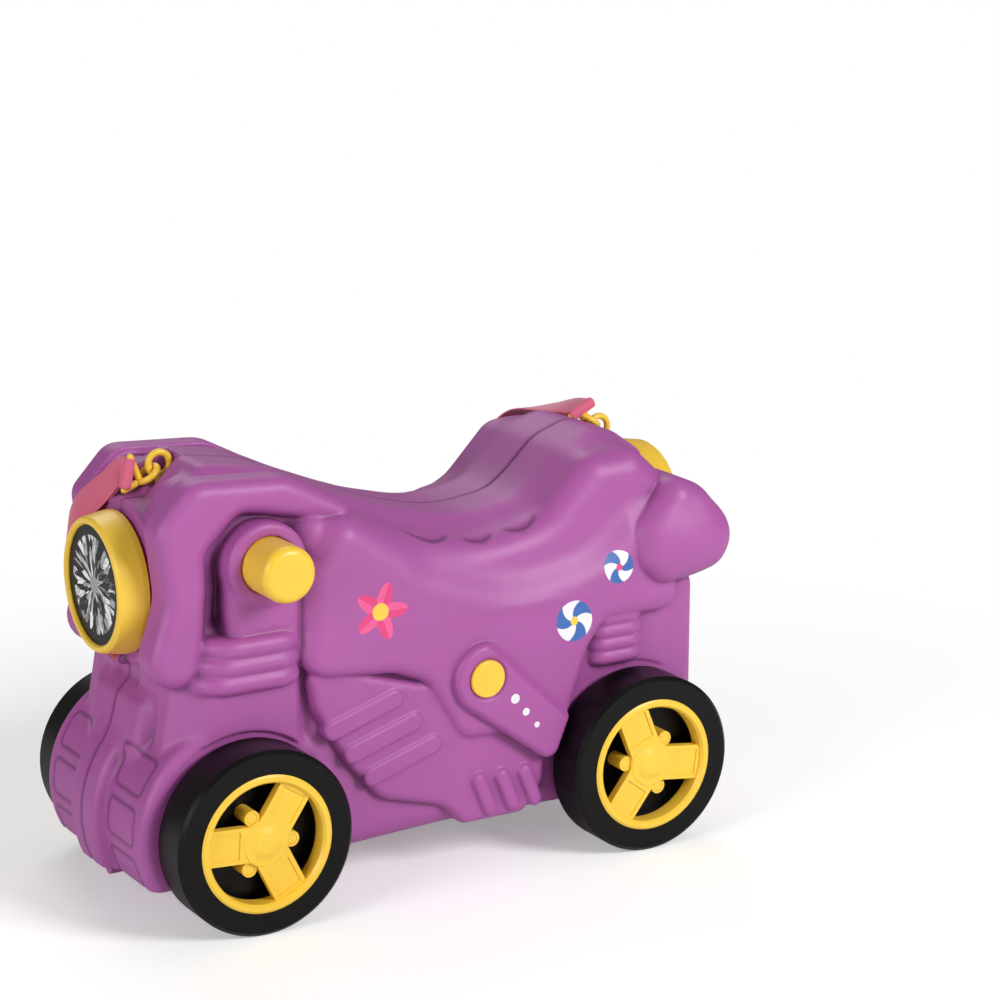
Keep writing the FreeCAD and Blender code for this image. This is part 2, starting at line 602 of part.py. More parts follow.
def latch_plate(lamp):
    """Plate of a lamp latch with its hinge lug below and its tongue above."""
    out = X_AXIS * lamp["out"]
    plate = rod(LAMP_RADIUS - 1, LATCH_PLATE, Vector(lamp["back"], 0, LAMP_HEIGHT), out)
    low = min(lamp["back"], lamp["plate"])
    lug_top = LAMP_HEIGHT - LAMP_RADIUS / 2
    lug = block(low, low + LATCH_PLATE, LUG_Y, LUG_Y + LATCH_LUG_WIDTH, PIVOT_HEIGHT, lug_top)
    barrel = rod(LUG_RADIUS, LATCH_LUG_WIDTH, Vector(lamp["pivot"], LUG_Y, PIVOT_HEIGHT), Y_AXIS)
    tip = lamp["back"] - lamp["out"] * (TONGUE_LENGTH + COLLAR_PROUD)
    tongue = block(min(tip, lamp["plate"]), max(tip, lamp["plate"]), -TONGUE_WIDTH / 2, TONGUE_WIDTH / 2,
                   LAMP_HEIGHT + TONGUE_RISE, LAMP_HEIGHT + TONGUE_RISE + TONGUE_THICKNESS)
    solid = plate.multiFuse([lug, barrel, tongue])
    pin_hole = rod(LATCH_PIN_RADIUS + PIN_FIT, FAR, Vector(lamp["pivot"], 0, PIVOT_HEIGHT), Y_AXIS)
    return solid.cut(pin_hole)


def lamp_ring(lamp):
    """Deep flared ring round a lamp, seated on its latch plate."""
    inner = LAMP_RADIUS - LAMP_LIP
    profile = [
        (inner, 0), (LAMP_RADIUS + LAMP_FLARE, 0), (LAMP_RADIUS + LAMP_FLARE, 4),
        (LAMP_RADIUS, LAMP_DEPTH - 2), (LAMP_RADIUS - 1.5, LAMP_DEPTH),
        (inner + 1, LAMP_DEPTH), (inner, LAMP_DEPTH - 1.5),
    ]
    return turned(profile, Vector(lamp["plate"], 0, LAMP_HEIGHT), X_AXIS * lamp["out"])


def lamp_disc(lamp):
    """Round face plate inside a lamp ring, carried on a rim that stands on the latch plate."""
    outer = LAMP_RADIUS - LAMP_LIP - PIN_FIT
    face = LAMP_DEPTH - LAMP_DISC_RECESS
    profile = [(0, face - 2), (outer - 3, face - 2), (outer - 3, 0), (outer, 0), (outer, face), (0, face)]
    return turned(profile, Vector(lamp["plate"], 0, LAMP_HEIGHT), X_AXIS * lamp["out"])


def latch_pin(lamp):
    """Pin through both ears and the lug of a lamp latch."""
    length = LATCH_LUG_WIDTH + 2 * (LATCH_EAR + EAR_GAP)
    start = Vector(lamp["pivot"], LUG_Y - LATCH_EAR - EAR_GAP, PIVOT_HEIGHT)
    return rod(LATCH_PIN_RADIUS, length, start, Y_AXIS)


def wheel_turned(profile):
    """Turned left wheel piece at X = Z = 0, from radius and distance in from the outer face."""
    return turned(profile, Vector(0, -TRACK_OUTER / 2, 0), Y_AXIS)


def tyre():
    """Black wheel body: tread ring, outer face, recess for the rim, web and hub sleeve."""
    seat = RIM_RADIUS + RIM_FIT
    bore = AXLE_RADIUS + WHEEL_RUNNING_FIT
    shoulder = TYRE_RADIUS - TYRE_WALL
    profile = [
        (seat, 0), (TYRE_RADIUS - TYRE_BEVEL, 0), (TYRE_RADIUS, TYRE_BEVEL),
        (TYRE_RADIUS, TYRE_WIDTH - TYRE_BEVEL), (TYRE_RADIUS - TYRE_BEVEL, TYRE_WIDTH),
        (shoulder, TYRE_WIDTH), (shoulder, TYRE_WALL),
        (seat + TYRE_WALL, TYRE_WALL), (seat + TYRE_WALL, WEB_START + WEB),
        (SLEEVE_RADIUS, WEB_START + WEB), (SLEEVE_RADIUS, TYRE_WIDTH),
        (bore, TYRE_WIDTH), (bore, SLEEVE_START),
        (SLEEVE_RADIUS, SLEEVE_START), (SLEEVE_RADIUS, WEB_START), (seat - RIM_WALL, WEB_START),
        (seat - RIM_WALL, RIM_DEPTH), (seat, RIM_DEPTH),
    ]
    solid = wheel_turned(profile)
    for place in screw_places():
        solid = solid.cut(rod(SCREW_RADIUS + PIN_FIT, FAR, place, Y_AXIS))
    return solid


def screw_places():
    """Where the rim's screws start, one between each two spokes."""
    places = []
    for i in range(SPOKES):
        turn = math.radians((i + 0.5) * 360 / SPOKES)
        across = RIM_SCREW_PLACE * math.cos(turn)
        up = -RIM_SCREW_PLACE * math.sin(turn)
        places.append(Vector(across, -TRACK_OUTER / 2 + SPOKE_START + SCREW_SINK, up))
    return places


def rim():
    """Yellow rim: rounded ring, three bordered spokes, domed hub and three screw bosses."""
    inner = RIM_RADIUS - RIM_WALL
    ring = wheel_turned([
        (inner, 1), (inner + 1.5, -RIM_PROUD), (RIM_RADIUS - 1.5, -RIM_PROUD), (RIM_RADIUS, 0),
        (RIM_RADIUS, RIM_DEPTH), (inner, RIM_DEPTH),
    ])
    hub = wheel_turned([
        (0, 0), (HUB_DOME * 0.6, 0.4), (HUB_DOME, 2), (HUB_RADIUS - 1, 2), (HUB_RADIUS, 3),
        (HUB_RADIUS, HUB_BACK), (0, HUB_BACK),
    ])
    front = -TRACK_OUTER / 2 + SPOKE_START
    added = [hub]
    cuts = []
    half = SPOKE_WIDTH / 2
    border = half - SPOKE_BORDER
    for i, place in enumerate(screw_places()):
        spoke = block(0, RIM_RADIUS - RIM_WALL / 2, front, front + SPOKE_THICKNESS, -half, half)
        spoke.rotate(Vector(0, 0, 0), Y_AXIS, i * 360 / SPOKES)
        panel = block(HUB_RADIUS + 2, inner - SPOKE_BORDER, front - 5, front + 1, -border, border)
        panel.rotate(Vector(0, 0, 0), Y_AXIS, i * 360 / SPOKES)
        added += [spoke, rod(RIM_BOSS_RADIUS, WEB_START - SPOKE_START - SCREW_SINK, place, Y_AXIS)]
        cuts += [panel, rod(SCREW_RADIUS + PIN_FIT, FAR, place - Y_AXIS, Y_AXIS)]
        cuts.append(rod(SCREW_HEAD_RADIUS + HEAD_FIT, SCREW_HEAD + HEAD_FIT, place, Y_AXIS))
    return ring.multiFuse(added).cut(cuts[0].multiFuse(cuts[1:]))


def rim_screws():
    """Three screws that go through the rim into the web of the wheel body."""
    screws = []
    for place in screw_places():
        start = place + Y_AXIS * HEAD_FIT
        head = rod(SCREW_HEAD_RADIUS, SCREW_HEAD, start, Y_AXIS)
        shank = rod(SCREW_RADIUS, WEB_START + WEB - SPOKE_START - SCREW_SINK - HEAD_FIT, start, Y_AXIS)
        screws.append(head.fuse(shank))
    return Part.makeCompound(screws)


def axle():
    """Stub axle pressed through the shell's boss, with a head inside the case."""
    tip = TRACK_OUTER / 2 - AXLE_TIP
    shaft = rod(AXLE_RADIUS, tip - AXLE_BOSS_START, Vector(0, -AXLE_BOSS_START, 0), -Y_AXIS)
    return shaft.fuse(rod(AXLE_HEAD_RADIUS, AXLE_HEAD, Vector(0, -AXLE_BOSS_START, 0), Y_AXIS))


def axle_clip():
    """Push-on retainer between the end of the hub sleeve and the tip of the axle."""
    place = Vector(0, -TRACK_OUTER / 2 + CLIP_PLACE, 0)
    bore = rod(AXLE_RADIUS + PIN_FIT, FAR, place - Y_AXIS, Y_AXIS)
    return rod(CLIP_RADIUS, CLIP_THICKNESS, place, Y_AXIS).cut(bore)


def grip():
    """Stub handle with a rounded end and a blind screw hole."""
    seat = BOSS_DEPTH - GRIP_SEAT
    length = TRACK_OUTER / 2 - seat
    foot = Vector(GRIP_X, -seat, GRIP_HEIGHT)
    solid = rod(GRIP_RADIUS, length, foot, -Y_AXIS)
    solid = solid.makeFillet(GRIP_ROUND, outer_edges(solid, TRACK_OUTER / 2))
    return solid.cut(rod(SCREW_RADIUS + PIN_FIT, GRIP_SCREW_BITE + 1, foot, -Y_AXIS))


def grip_screw():
    """Screw from inside the case into the grip."""
    start = HEAD_DEPTH - WALL
    bite = BOSS_DEPTH - GRIP_SEAT + GRIP_SCREW_BITE
    shank = rod(SCREW_RADIUS, bite - start, Vector(GRIP_X, -start, GRIP_HEIGHT), -Y_AXIS)
    return shank.fuse(rod(GRIP_SCREW_HEAD, SCREW_HEAD, Vector(GRIP_X, -start, GRIP_HEIGHT), Y_AXIS))


def button():
    """Yellow cap on the side arm, with a stem pushed into the arm."""
    cap = rod(BUTTON_RADIUS, BUTTON_PROUD, Vector(BUTTON_X, -ARM_DEPTH, BUTTON_Z), -Y_AXIS)
    cap = cap.makeFillet(BUTTON_PROUD / 2, outer_edges(cap, ARM_DEPTH + BUTTON_PROUD))
    return cap.fuse(rod(BUTTON_STEM_RADIUS, BUTTON_STEM, Vector(BUTTON_X, -ARM_DEPTH, BUTTON_Z), Y_AXIS))


def eye(place):
    """Upright wire eye on a post that goes down into the floor of its well."""
    ring = Part.makeTorus(EYE_RADIUS, RING_WIRE, place, Y_AXIS)
    return ring.fuse(rod(EYE_POST, EYE_POST_LENGTH, place - Z_AXIS * (EYE_RADIUS - RING_WIRE / 2), -Z_AXIS))


def wire(points, radius):
    """Round wire through points, with ball joints."""
    pieces = [Part.makeSphere(radius, p) for p in points]
    for a, b in zip(points, points[1:]):
        pieces.append(rod(radius, (b - a).Length, a, (b - a)))
    return pieces[0].multiFuse(pieces[1:])


def hook(eye_place, lean, bar):
    """Snap hook: a closed ring through the eye and a frame whose bar carries the strap."""
    place = eye_place + lean * HOOK_REACH
    ring = Part.makeTorus(HOOK_RADIUS, RING_WIRE, place, lean.cross(Y_AXIS))
    neck = place + lean * HOOK_RADIUS
    return ring.fuse(wire([neck, bar[0], bar[1], neck], RING_WIRE))


def strap_section(place, outward, along):
    """Rectangle across the strap at one place of its route."""
    across = outward.cross(along).normalize() * (STRAP_WIDTH / 2)
    through = along.cross(across).normalize() * (STRAP_THICKNESS / 2)
    corners = [
        place + across + through, place - across + through,
        place - across - through, place + across - through,
    ]
    return Part.makePolygon(corners + corners[:1])


def strap():
    """Webbing strap as one ruled band, hung on the far side from bar to bar."""
    places = [Vector(x, y, LAMP + rise) for x, y, rise, outward in STRAP_ROUTE]
    sections = []
    for i, (x, y, rise, outward) in enumerate(STRAP_ROUTE):
        before = places[max(i - 1, 0)]
        after = places[min(i + 1, len(places) - 1)]
        sections.append(strap_section(places[i], outward.normalize(), (after - before).normalize()))
    return Part.makeLoft(sections, True, True)


def elastic(start, end, y):
    """Flat elastic band between two anchors, in an upright plane, with a stud hole at each end."""
    way = (end - start).normalize()
    over = Vector(-way.z, 0, way.x) * (ELASTIC_WIDTH / 2)
    tail = way * (ELASTIC_WIDTH / 2)
    lift = Y_AXIS * y
    corners = [start - tail - over, end + tail - over, end + tail + over, start - tail + over]
    face = Part.Face(Part.makePolygon([c + lift for c in corners + corners[:1]]))
    band = face.extrude(Y_AXIS * ELASTIC_THICKNESS)
    for place in (start, end):
        band = band.cut(rod(STUD_SHANK + PIN_FIT, FAR, place, Y_AXIS))
    return band


def stud(place, y):
    """Push-in stud that pins one end of an elastic to its anchor."""
    head = rod(STUD_HEAD, STUD_THICKNESS, place + Y_AXIS * (y - STUD_THICKNESS), Y_AXIS)
    return head.fuse(rod(STUD_SHANK, STUD_BITE, place + Y_AXIS * y, Y_AXIS))


def anchor(place, y):
    """Block on the right half's inside wall behind the end of an elastic."""
    half = ELASTIC_WIDTH / 2
    low = place.z - half if place.z > LAMP_HEIGHT else place.z - ANCHOR_REACH
    high = place.z + ANCHOR_REACH if place.z > LAMP_HEIGHT else place.z + half
    return block(place.x - half, place.x + half, y + ELASTIC_THICKNESS, y + ANCHOR_DEPTH, low, high)


def eye_well(start, end, floor, skin):
    """Open-topped well beside the parting plane; skin is what is added for its lining."""
    return block(start - skin, end + skin, PARTING_GAP / 2, WELL_WIDTH + skin, floor - skin, FAR)


def right_shell_base(form, knuckle_indexes):
    """Right half: the left half mirrored, with latch ears, eye wells and elastic anchors."""
    shell = mirrored(left_shell_base(form, knuckle_indexes))
    right_form = mirrored(form)
    added = latch_ears(FRONT_LAMP) + latch_ears(REAR_LAMP)
    linings = [eye_well(start, end, floor, WALL) for start, end, floor in EYE_WELLS]
    for route, y in ((RISING, ELASTIC_Y), (FALLING, ELASTIC_Y + ELASTIC_STEP)):
        linings += [anchor(place, y) for place in route]
    added += [lining.common(right_form) for lining in linings]
    shell = shell.multiFuse(added)
    cuts = [eye_well(start, end, floor, 0) for start, end, floor in EYE_WELLS]
    cuts += [rod(EYE_POST + PIN_FIT, 4 * EYE_POST_LENGTH, place, -Z_AXIS) for place in (FRONT_EYE, REAR_EYE)]
    for lamp in (FRONT_LAMP, REAR_LAMP):
        pivot = Vector(lamp["pivot"], 0, PIVOT_HEIGHT)
        cuts.append(rod(LATCH_PIN_RADIUS + PIN_FIT, FAR, pivot, Y_AXIS))
        lug_room = rod(LUG_RADIUS + LATCH_GAP, LATCH_LUG_WIDTH + 2 * EAR_GAP, pivot, Y_AXIS)
        lug_room.translate(Y_AXIS * (LUG_Y - EAR_GAP))
        cuts.append(lug_room)
    for route in (RISING, FALLING):
        cuts += [rod(STUD_SHANK + PIN_FIT, ELASTIC_Y + ANCHOR_DEPTH, place, Y_AXIS) for place in route]
    return shell.cut(cuts[0].multiFuse(cuts[1:]))


def export_shells():
    form = left_form()
    export(left_shell_base(form, range(0, KNUCKLE_COUNT, 2)), "left_shell")
    export(right_shell_base(form, range(1, KNUCKLE_COUNT, 2)), "right_shell")
    length = HINGE_END - HINGE_START - KNUCKLE_GAP
    export(rod(HINGE_PIN_RADIUS, length, Vector(HINGE_START, 0, HINGE_HEIGHT), X_AXIS), "hinge_pin")


def export_wheels():
    """Four wheels with their axles; the front and rear rims stand at different turns."""
    pieces = {
        "tyre": tyre(), "rim": rim(), "rim_screws": rim_screws(), "axle": axle(), "axle_clip": axle_clip(),
    }
    for end, axle_x, turn in (("front", FRONT, FRONT_RIM_TURN), ("rear", REAR, REAR_RIM_TURN)):
        for side in ("left", "right"):
            for name, piece in pieces.items():
                placed = piece.copy()
                placed.rotate(Vector(0, 0, 0), Y_AXIS, turn)
                placed.translate(Vector(axle_x, 0, TYRE_RADIUS))
                export(on_side(placed, side), end + "_" + side + "_" + name)


def export_fittings():
    for side in ("left", "right"):
        for name, piece in (("grip", grip()), ("grip_screw", grip_screw()), ("button", button())):
            export(on_side(piece, side), side + "_" + name)
    for end, light, lamp in (("front", "headlight", FRONT_LAMP), ("rear", "tail_light", REAR_LAMP)):
        export(latch_plate(lamp), end + "_latch_plate")
        export(latch_pin(lamp), end + "_latch_pin")
        export(lamp_ring(lamp), light + "_ring")
        export(lamp_disc(lamp), light + "_disc")


def export_straps():
    export(eye(FRONT_EYE), "front_eye")
    export(eye(REAR_EYE), "rear_eye")
    export(hook(FRONT_EYE, FRONT_LEAN, FRONT_BAR), "front_hook")
    export(hook(REAR_EYE, REAR_LEAN, REAR_BAR), "rear_hook")
    export(strap(), "strap")
    export(elastic(RISING[0], RISING[1], ELASTIC_Y), "elastic_rising")
    export(elastic(FALLING[0], FALLING[1], ELASTIC_Y + ELASTIC_STEP), "elastic_falling")
    studs = [stud(place, ELASTIC_Y) for place in RISING]
    studs += [stud(place, ELASTIC_Y + ELASTIC_STEP) for place in FALLING]
    export(Part.makeCompound(studs), "elastic_studs")


export_shells()
export_wheels()
export_fittings()
export_straps()
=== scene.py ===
"""Looks of a child's ride-on clamshell case shaped like a toy motorcycle."""
import json
import math

import bpy
import numpy as np
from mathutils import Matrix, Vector


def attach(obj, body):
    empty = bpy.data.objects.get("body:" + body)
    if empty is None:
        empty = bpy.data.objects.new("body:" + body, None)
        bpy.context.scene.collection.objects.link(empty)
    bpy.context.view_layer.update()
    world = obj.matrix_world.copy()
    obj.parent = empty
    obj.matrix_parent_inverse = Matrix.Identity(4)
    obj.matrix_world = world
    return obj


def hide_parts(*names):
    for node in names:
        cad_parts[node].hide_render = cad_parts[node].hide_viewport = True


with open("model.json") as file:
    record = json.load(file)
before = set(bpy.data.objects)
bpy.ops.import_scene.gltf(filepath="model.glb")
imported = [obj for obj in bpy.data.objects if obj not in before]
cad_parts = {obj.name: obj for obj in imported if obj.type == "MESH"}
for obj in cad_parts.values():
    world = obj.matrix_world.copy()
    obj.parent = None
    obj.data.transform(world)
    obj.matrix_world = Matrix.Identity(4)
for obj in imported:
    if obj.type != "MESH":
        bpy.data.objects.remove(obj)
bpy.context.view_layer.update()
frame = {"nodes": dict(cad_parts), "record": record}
scene = bpy.context.scene
MM = 0.001

# Places and depths of the moulded half, in millimetres as in the solids
WHEELBASE = 310.0
FRONT = -0.497 * WHEELBASE
REAR = FRONT + WHEELBASE
TYRE_RADIUS = 65.0
BODY_DEPTH = 79.0
FLOOR_HEIGHT = 31.0
HEAD_FRONT = FRONT - 43
TAIL_BACK = REAR + 42
LAMP = 226.0
LAMP_RADIUS = 46.8
GRIP_X = FRONT + 21
GRIP_Z = LAMP + 21
BUTTON_X = 29.0
BUTTON_Z = LAMP - 81

# Skin over the moulded halves: grid step, height over the solids, rim width, and the rims' distance from the
# parting plane, which the left one passes by a hair so that no light shows through the joint
CELL = 1.4
SKIN = 1.1
PARTING = {"left": -0.1, "right": 0.15}
RIM = 2.6
FAR = 400.0


def unit(vectors):
    """Vectors divided by their own lengths."""
    return vectors / np.linalg.norm(vectors, axis=-1, keepdims=True)


def run_along(path):
    """Distance along a path at each of its points: the running sum of its steps."""
    return np.concatenate([[0], np.cumsum(np.linalg.norm(np.diff(path, axis=0), axis=1))])


def rounded_outline(corners, steps=7):
    """Closed outline: each corner becomes an arc between its two tangent points, by turning the radius at
    the first one evenly into the radius at the second."""
    table = np.array(corners, float)
    place = table[:, :2]
    radius = table[:, 2:]
    to_before = unit(np.roll(place, 1, 0) - place)
    to_after = unit(np.roll(place, -1, 0) - place)
    half = np.arccos(np.clip((to_before * to_after).sum(1, keepdims=True), -1, 1)) / 2
    centre = place + unit(to_before + to_after) * radius / np.sin(half)
    first = place + to_before * radius / np.tan(half) - centre
    last = place + to_after * radius / np.tan(half) - centre
    swing = (np.pi - 2 * half)[:, None, :]
    share = np.linspace(0, 1, steps)[None, :, None]
    arc = np.sin((1 - share) * swing) * first[:, None, :] + np.sin(share * swing) * last[:, None, :]
    return (centre[:, None, :] + arc / np.sin(swing)).reshape(-1, 2)


def outline_distance(points, x, z):
    """Least distance in the side view from any edge of an outline, negative inside it, where a level line
    from the point crosses the edges an odd number of times."""
    edge = np.roll(points, -1, 0) - points
    px = x.reshape(-1, 1) - points[:, 0]
    pz = z.reshape(-1, 1) - points[:, 1]
    share = np.clip((px * edge[:, 0] + pz * edge[:, 1]) / (edge ** 2).sum(1), 0, 1)
    least = np.hypot(px - share * edge[:, 0], pz - share * edge[:, 1]).min(1)
    level = px - edge[:, 0] * pz / np.where(edge[:, 1] == 0, 1e-9, edge[:, 1])
    crossings = (((pz >= 0) != (pz - edge[:, 1] >= 0)) & (level < 0)).sum(1)
    return np.where(crossings % 2 == 1, -least, least).reshape(x.shape)


def corner_distance(a, b):
    """Distance from a square corner: the length of what is past two limits, or the greater one inside."""
    return np.minimum(np.maximum(a, b), 0) + np.hypot(np.maximum(a, 0), np.maximum(b, 0))


def rounded_both(a, b, edge):
    """Solid inside two limits, with their common edge rounded: the corner's distance less its radius."""
    return corner_distance(a + edge, b + edge) - edge


def join(a, b, soft):
    """Union of two distance fields: the lesser one, and where they are close a mix of both less a parabola,
    which fills their inner corner with a soft fillet."""
    mix = np.clip(0.5 + 0.5 * (b - a) / soft, 0, 1)
    return b * (1 - mix) + a * mix - soft * mix * (1 - mix)


def both(a, b, soft):
    """Solid inside two limits at once, with a soft edge: the union of their outsides, turned inside out."""
    return -join(-a, -b, soft)


def carve(a, b, soft):
    """First field less the second, with a soft edge: the outside of the first joined with the second."""
    return -join(-a, b, soft)


class Space:
    """Grid of points round the left half, in millimetres, with the fields of its plain forms."""

    def __init__(self, axes, cut=None):
        self.axes = axes
        self.cut = cut
        self.cell = axes[0][1] - axes[0][0]
        self.low = np.array([axis[0] for axis in axes])
        self.x = axes[0][:, None, None]
        self.y = axes[1][None, :, None]
        self.z = axes[2][None, None, :]
        self.side_x, self.side_z = np.meshgrid(axes[0], axes[2], indexing="ij")

    def window(self, x0, x1, z0, z1):
        """The same grid between limits in the side view, with the slices that cut it out."""
        along = slice(*np.searchsorted(self.axes[0], [x0, x1]))
        up = slice(*np.searchsorted(self.axes[2], [z0, z1]))
        return Space([self.axes[0][along], self.axes[1], self.axes[2][up]], (along, slice(None), up))

    def beside(self, points):
        """Distance from an outline in the side view."""
        return outline_distance(points, self.side_x, self.side_z)[:, None, :]

    def plateau(self, corners, depth, edge, start=-FAR, grow=0.0):
        """Outline drawn out sideways: its distance in the side view and a depth are two limits with a rounded
        edge, grown a little all round."""
        side = self.beside(rounded_outline(corners)) - grow
        return np.maximum(rounded_both(side, -self.y - depth - grow, edge), self.y + start)

    def faceted(self, points, depth, bevel, start, soft=2.0):
        """Outline drawn out sideways, with a third limit at 45 degrees as a bevel along its outer edge."""
        side = self.beside(points)
        out = -self.y - depth
        slant = (side + out + bevel) * math.sqrt(0.5)
        return np.maximum(both(both(side, out, soft), slant, soft), self.y + start)

    def sideways_disc(self, radius, x, z, depth, edge):
        """Round plateau: distance from a sideways axis less the radius, limited in depth."""
        return rounded_both(np.hypot(self.x - x, self.z - z) - radius, -self.y - depth, edge)

    def lengthwise_disc(self, radius, z, start, end, edge):
        """Round housing: distance from a lengthwise axis less the radius, limited in length."""
        ends = np.maximum(start - self.x, self.x - end)
        return rounded_both(np.hypot(self.y, self.z - z) - radius, ends, edge)

    def fold(self, x0, x1, back, depth, z, thickness, corner):
        """Level bar with a round outer edge: a rounded rectangle in plan, limited in height."""
        across = np.abs(self.x - (x0 + x1) / 2) - (x1 - x0) / 2 + corner
        out = np.abs(self.y + (depth + back) / 2) - (depth - back) / 2 + corner
        plan = corner_distance(across, out) - corner
        return rounded_both(plan, np.abs(self.z - z) - thickness / 2, thickness / 2 - 0.2)

    def crown(self, x, z, along, up, depth, rise):
        """Half an ellipsoid that looks sideways: its scaled radius less one, brought back to millimetres."""
        out = np.minimum(self.y + depth, 0) / rise
        reach = np.sqrt(((self.x - x) / along) ** 2 + ((self.z - z) / up) ** 2 + out ** 2)
        return np.maximum((reach - 1) * min(along, up, rise), self.y + depth - rise)

    def finger(self, ends, width, depth, edge):
        """Raised bar with round ends: distance from a line, limited in depth."""
        along = np.array(ends[1]) - ends[0]
        px = self.side_x - ends[0][0]
        pz = self.side_z - ends[0][1]
        share = np.clip((px * along[0] + pz * along[1]) / (along ** 2).sum(), 0, 1)
        side = np.hypot(px - share * along[0], pz - share * along[1]) - width / 2
        return rounded_both(side[:, None, :], -self.y - depth, edge)

    def box(self, x0, x1, y0, y1, z0, z1):
        """Plain box: the greatest of its six limits."""
        along = np.maximum(x0 - self.x, self.x - x1)
        across = np.maximum(y0 - self.y, self.y - y1)
        return np.maximum(np.maximum(along, across), np.maximum(z0 - self.z, self.z - z1))


def whole_space(cell):
    """Grid round the whole left half."""
    low = (-244.0, -106.0, 24.0)
    high = (244.0, 6.0, 318.0)
    return Space([np.arange(a, b, cell) for a, b in zip(low, high)])


# Outlines of the plateaus, as corners with x, z and corner radius
SPINE = [
    (HEAD_FRONT, LAMP + 46, 8), (FRONT - 29, LAMP + 56, 10), (FRONT - 4, LAMP + 81.5, 8),
    (FRONT + 44, LAMP + 74, 100), (-30, LAMP + 36, 150), (38, LAMP + 17.5, 120), (98, LAMP + 24, 70),
    (REAR - 6, LAMP + 67, 16), (REAR + 18, LAMP + 65, 14), (TAIL_BACK, LAMP + 48, 12), (TAIL_BACK, 70, 24),
    (REAR + 20, FLOOR_HEIGHT, 24), (FRONT - 40, FLOOR_HEIGHT, 20), (FRONT - 61, LAMP - 108, 10),
    (FRONT - 53, LAMP - 78, 8), (HEAD_FRONT, LAMP - 68, 6),
]
HEAD = [
    (HEAD_FRONT, LAMP - 50, 14), (HEAD_FRONT, LAMP + 40, 14), (FRONT - 26, LAMP + 74, 16),
    (FRONT + 62, LAMP + 62, 16), (FRONT + 62, 100, 14), (FRONT - 46, 100, 14),
]
BODY = [
    (FRONT + 44, LAMP + 58, 20), (-62, LAMP + 41, 90), (-16, LAMP + 21, 100), (38, LAMP + 10, 120),
    (88, LAMP + 19, 40), (REAR - 28, LAMP + 60, 20), (REAR + 12, LAMP + 62, 20), (TAIL_BACK, LAMP + 34, 20),
    (TAIL_BACK, 74, 24), (REAR + 18, FLOOR_HEIGHT, 24), (10, FLOOR_HEIGHT + 4, 400),
    (FRONT + 66, FLOOR_HEIGHT, 24), (FRONT + 44, 80, 24),
]
POD = [
    (FRONT + 46, LAMP - 60, 18), (FRONT + 48, LAMP + 13, 18), (FRONT + 78, LAMP + 50, 16),
    (-14, LAMP - 2, 60), (56, LAMP - 27, 120), (128, LAMP - 14, 80), (REAR + 26, LAMP + 32, 17),
    (TAIL_BACK - 2, LAMP + 10, 17), (TAIL_BACK - 2, LAMP - 54, 17), (REAR - 26, LAMP - 54, 17),
    (REAR - 40, LAMP - 74, 17), (98, LAMP - 126, 17), (14, LAMP - 124, 17), (-14, LAMP - 76, 24),
    (-40, LAMP - 66, 24),
]
ENGINE = [
    (FRONT + 48, LAMP - 54, 8), (FRONT + 54, LAMP - 86, 30), (-76, LAMP - 128, 40), (-50, 68, 24),
    (0, 54, 20), (16, 37, 9), (66, 37, 9), (82, 58, 9), (84, 110, 9), (0, LAMP - 86, 9),
]
ARM = [
    (BUTTON_X - 35.4, BUTTON_Z - 4, 24), (BUTTON_X - 2, BUTTON_Z + 35.5, 24),
    (BUTTON_X + 70, BUTTON_Z - 34.5, 8), (BUTTON_X + 55, BUTTON_Z - 71, 8),
]
FAIRING = [
    (FRONT - 63, LAMP - 52, 18), (FRONT - 46, LAMP, 40), (FRONT - 52, LAMP + 50, 12),
    (FRONT - 26, LAMP + 78, 16), (FRONT + 42, LAMP + 74, 30), (FRONT + 92, LAMP + 48, 4.2),
    (FRONT + 83, LAMP + 42, 5), (FRONT + 6, LAMP + 57, 14), (FRONT - 21, LAMP + 31, 14),
    (FRONT - 20, LAMP + 4, 30), (FRONT - 23, LAMP - 28, 30), (FRONT - 27, LAMP - 62, 16),
]
CHEEK = [
    (FRONT - 34, LAMP - 50, 8), (FRONT - 34, LAMP + 44, 12), (FRONT - 14, LAMP + 66, 12),
    (FRONT + 56, LAMP + 60, 12), (FRONT + 84, LAMP + 40, 4), (FRONT + 76, LAMP + 34, 4),
    (FRONT + 10, LAMP + 47, 14), (FRONT - 10, LAMP + 27, 14), (FRONT - 9, LAMP + 4, 30),
    (FRONT - 13, LAMP - 28, 30), (FRONT - 20, LAMP - 54, 8),
]
TAIL = [
    (REAR + 33, LAMP + 42, 15), (REAR + 60, LAMP + 30, 22), (REAR + 81.5, LAMP - 8, 16),
    (REAR + 75, LAMP - 27, 15), (REAR + 20, LAMP - 38, 17), (REAR + 1, LAMP - 18, 15.5),
    (REAR + 5, LAMP + 6, 15.5),
]
HAUNCH = [
    (REAR, LAMP - 26, 12), (REAR + 60, LAMP - 34, 12), (REAR + 60, 92, 20),
    (REAR + 34, FLOOR_HEIGHT + 3, 20), (REAR, FLOOR_HEIGHT + 3, 12),
]
SKIRT = np.array([
    (FRONT - 34, LAMP - 20), (FRONT + 62, LAMP - 20), (FRONT + 62, 96.0), (FRONT - 54, 96.0),
])
COLUMN = np.array([
    (GRIP_X - 26, GRIP_Z), (GRIP_X + 26, GRIP_Z),
    (GRIP_X + 26, LAMP - 44), (GRIP_X - 26, LAMP - 44),
])

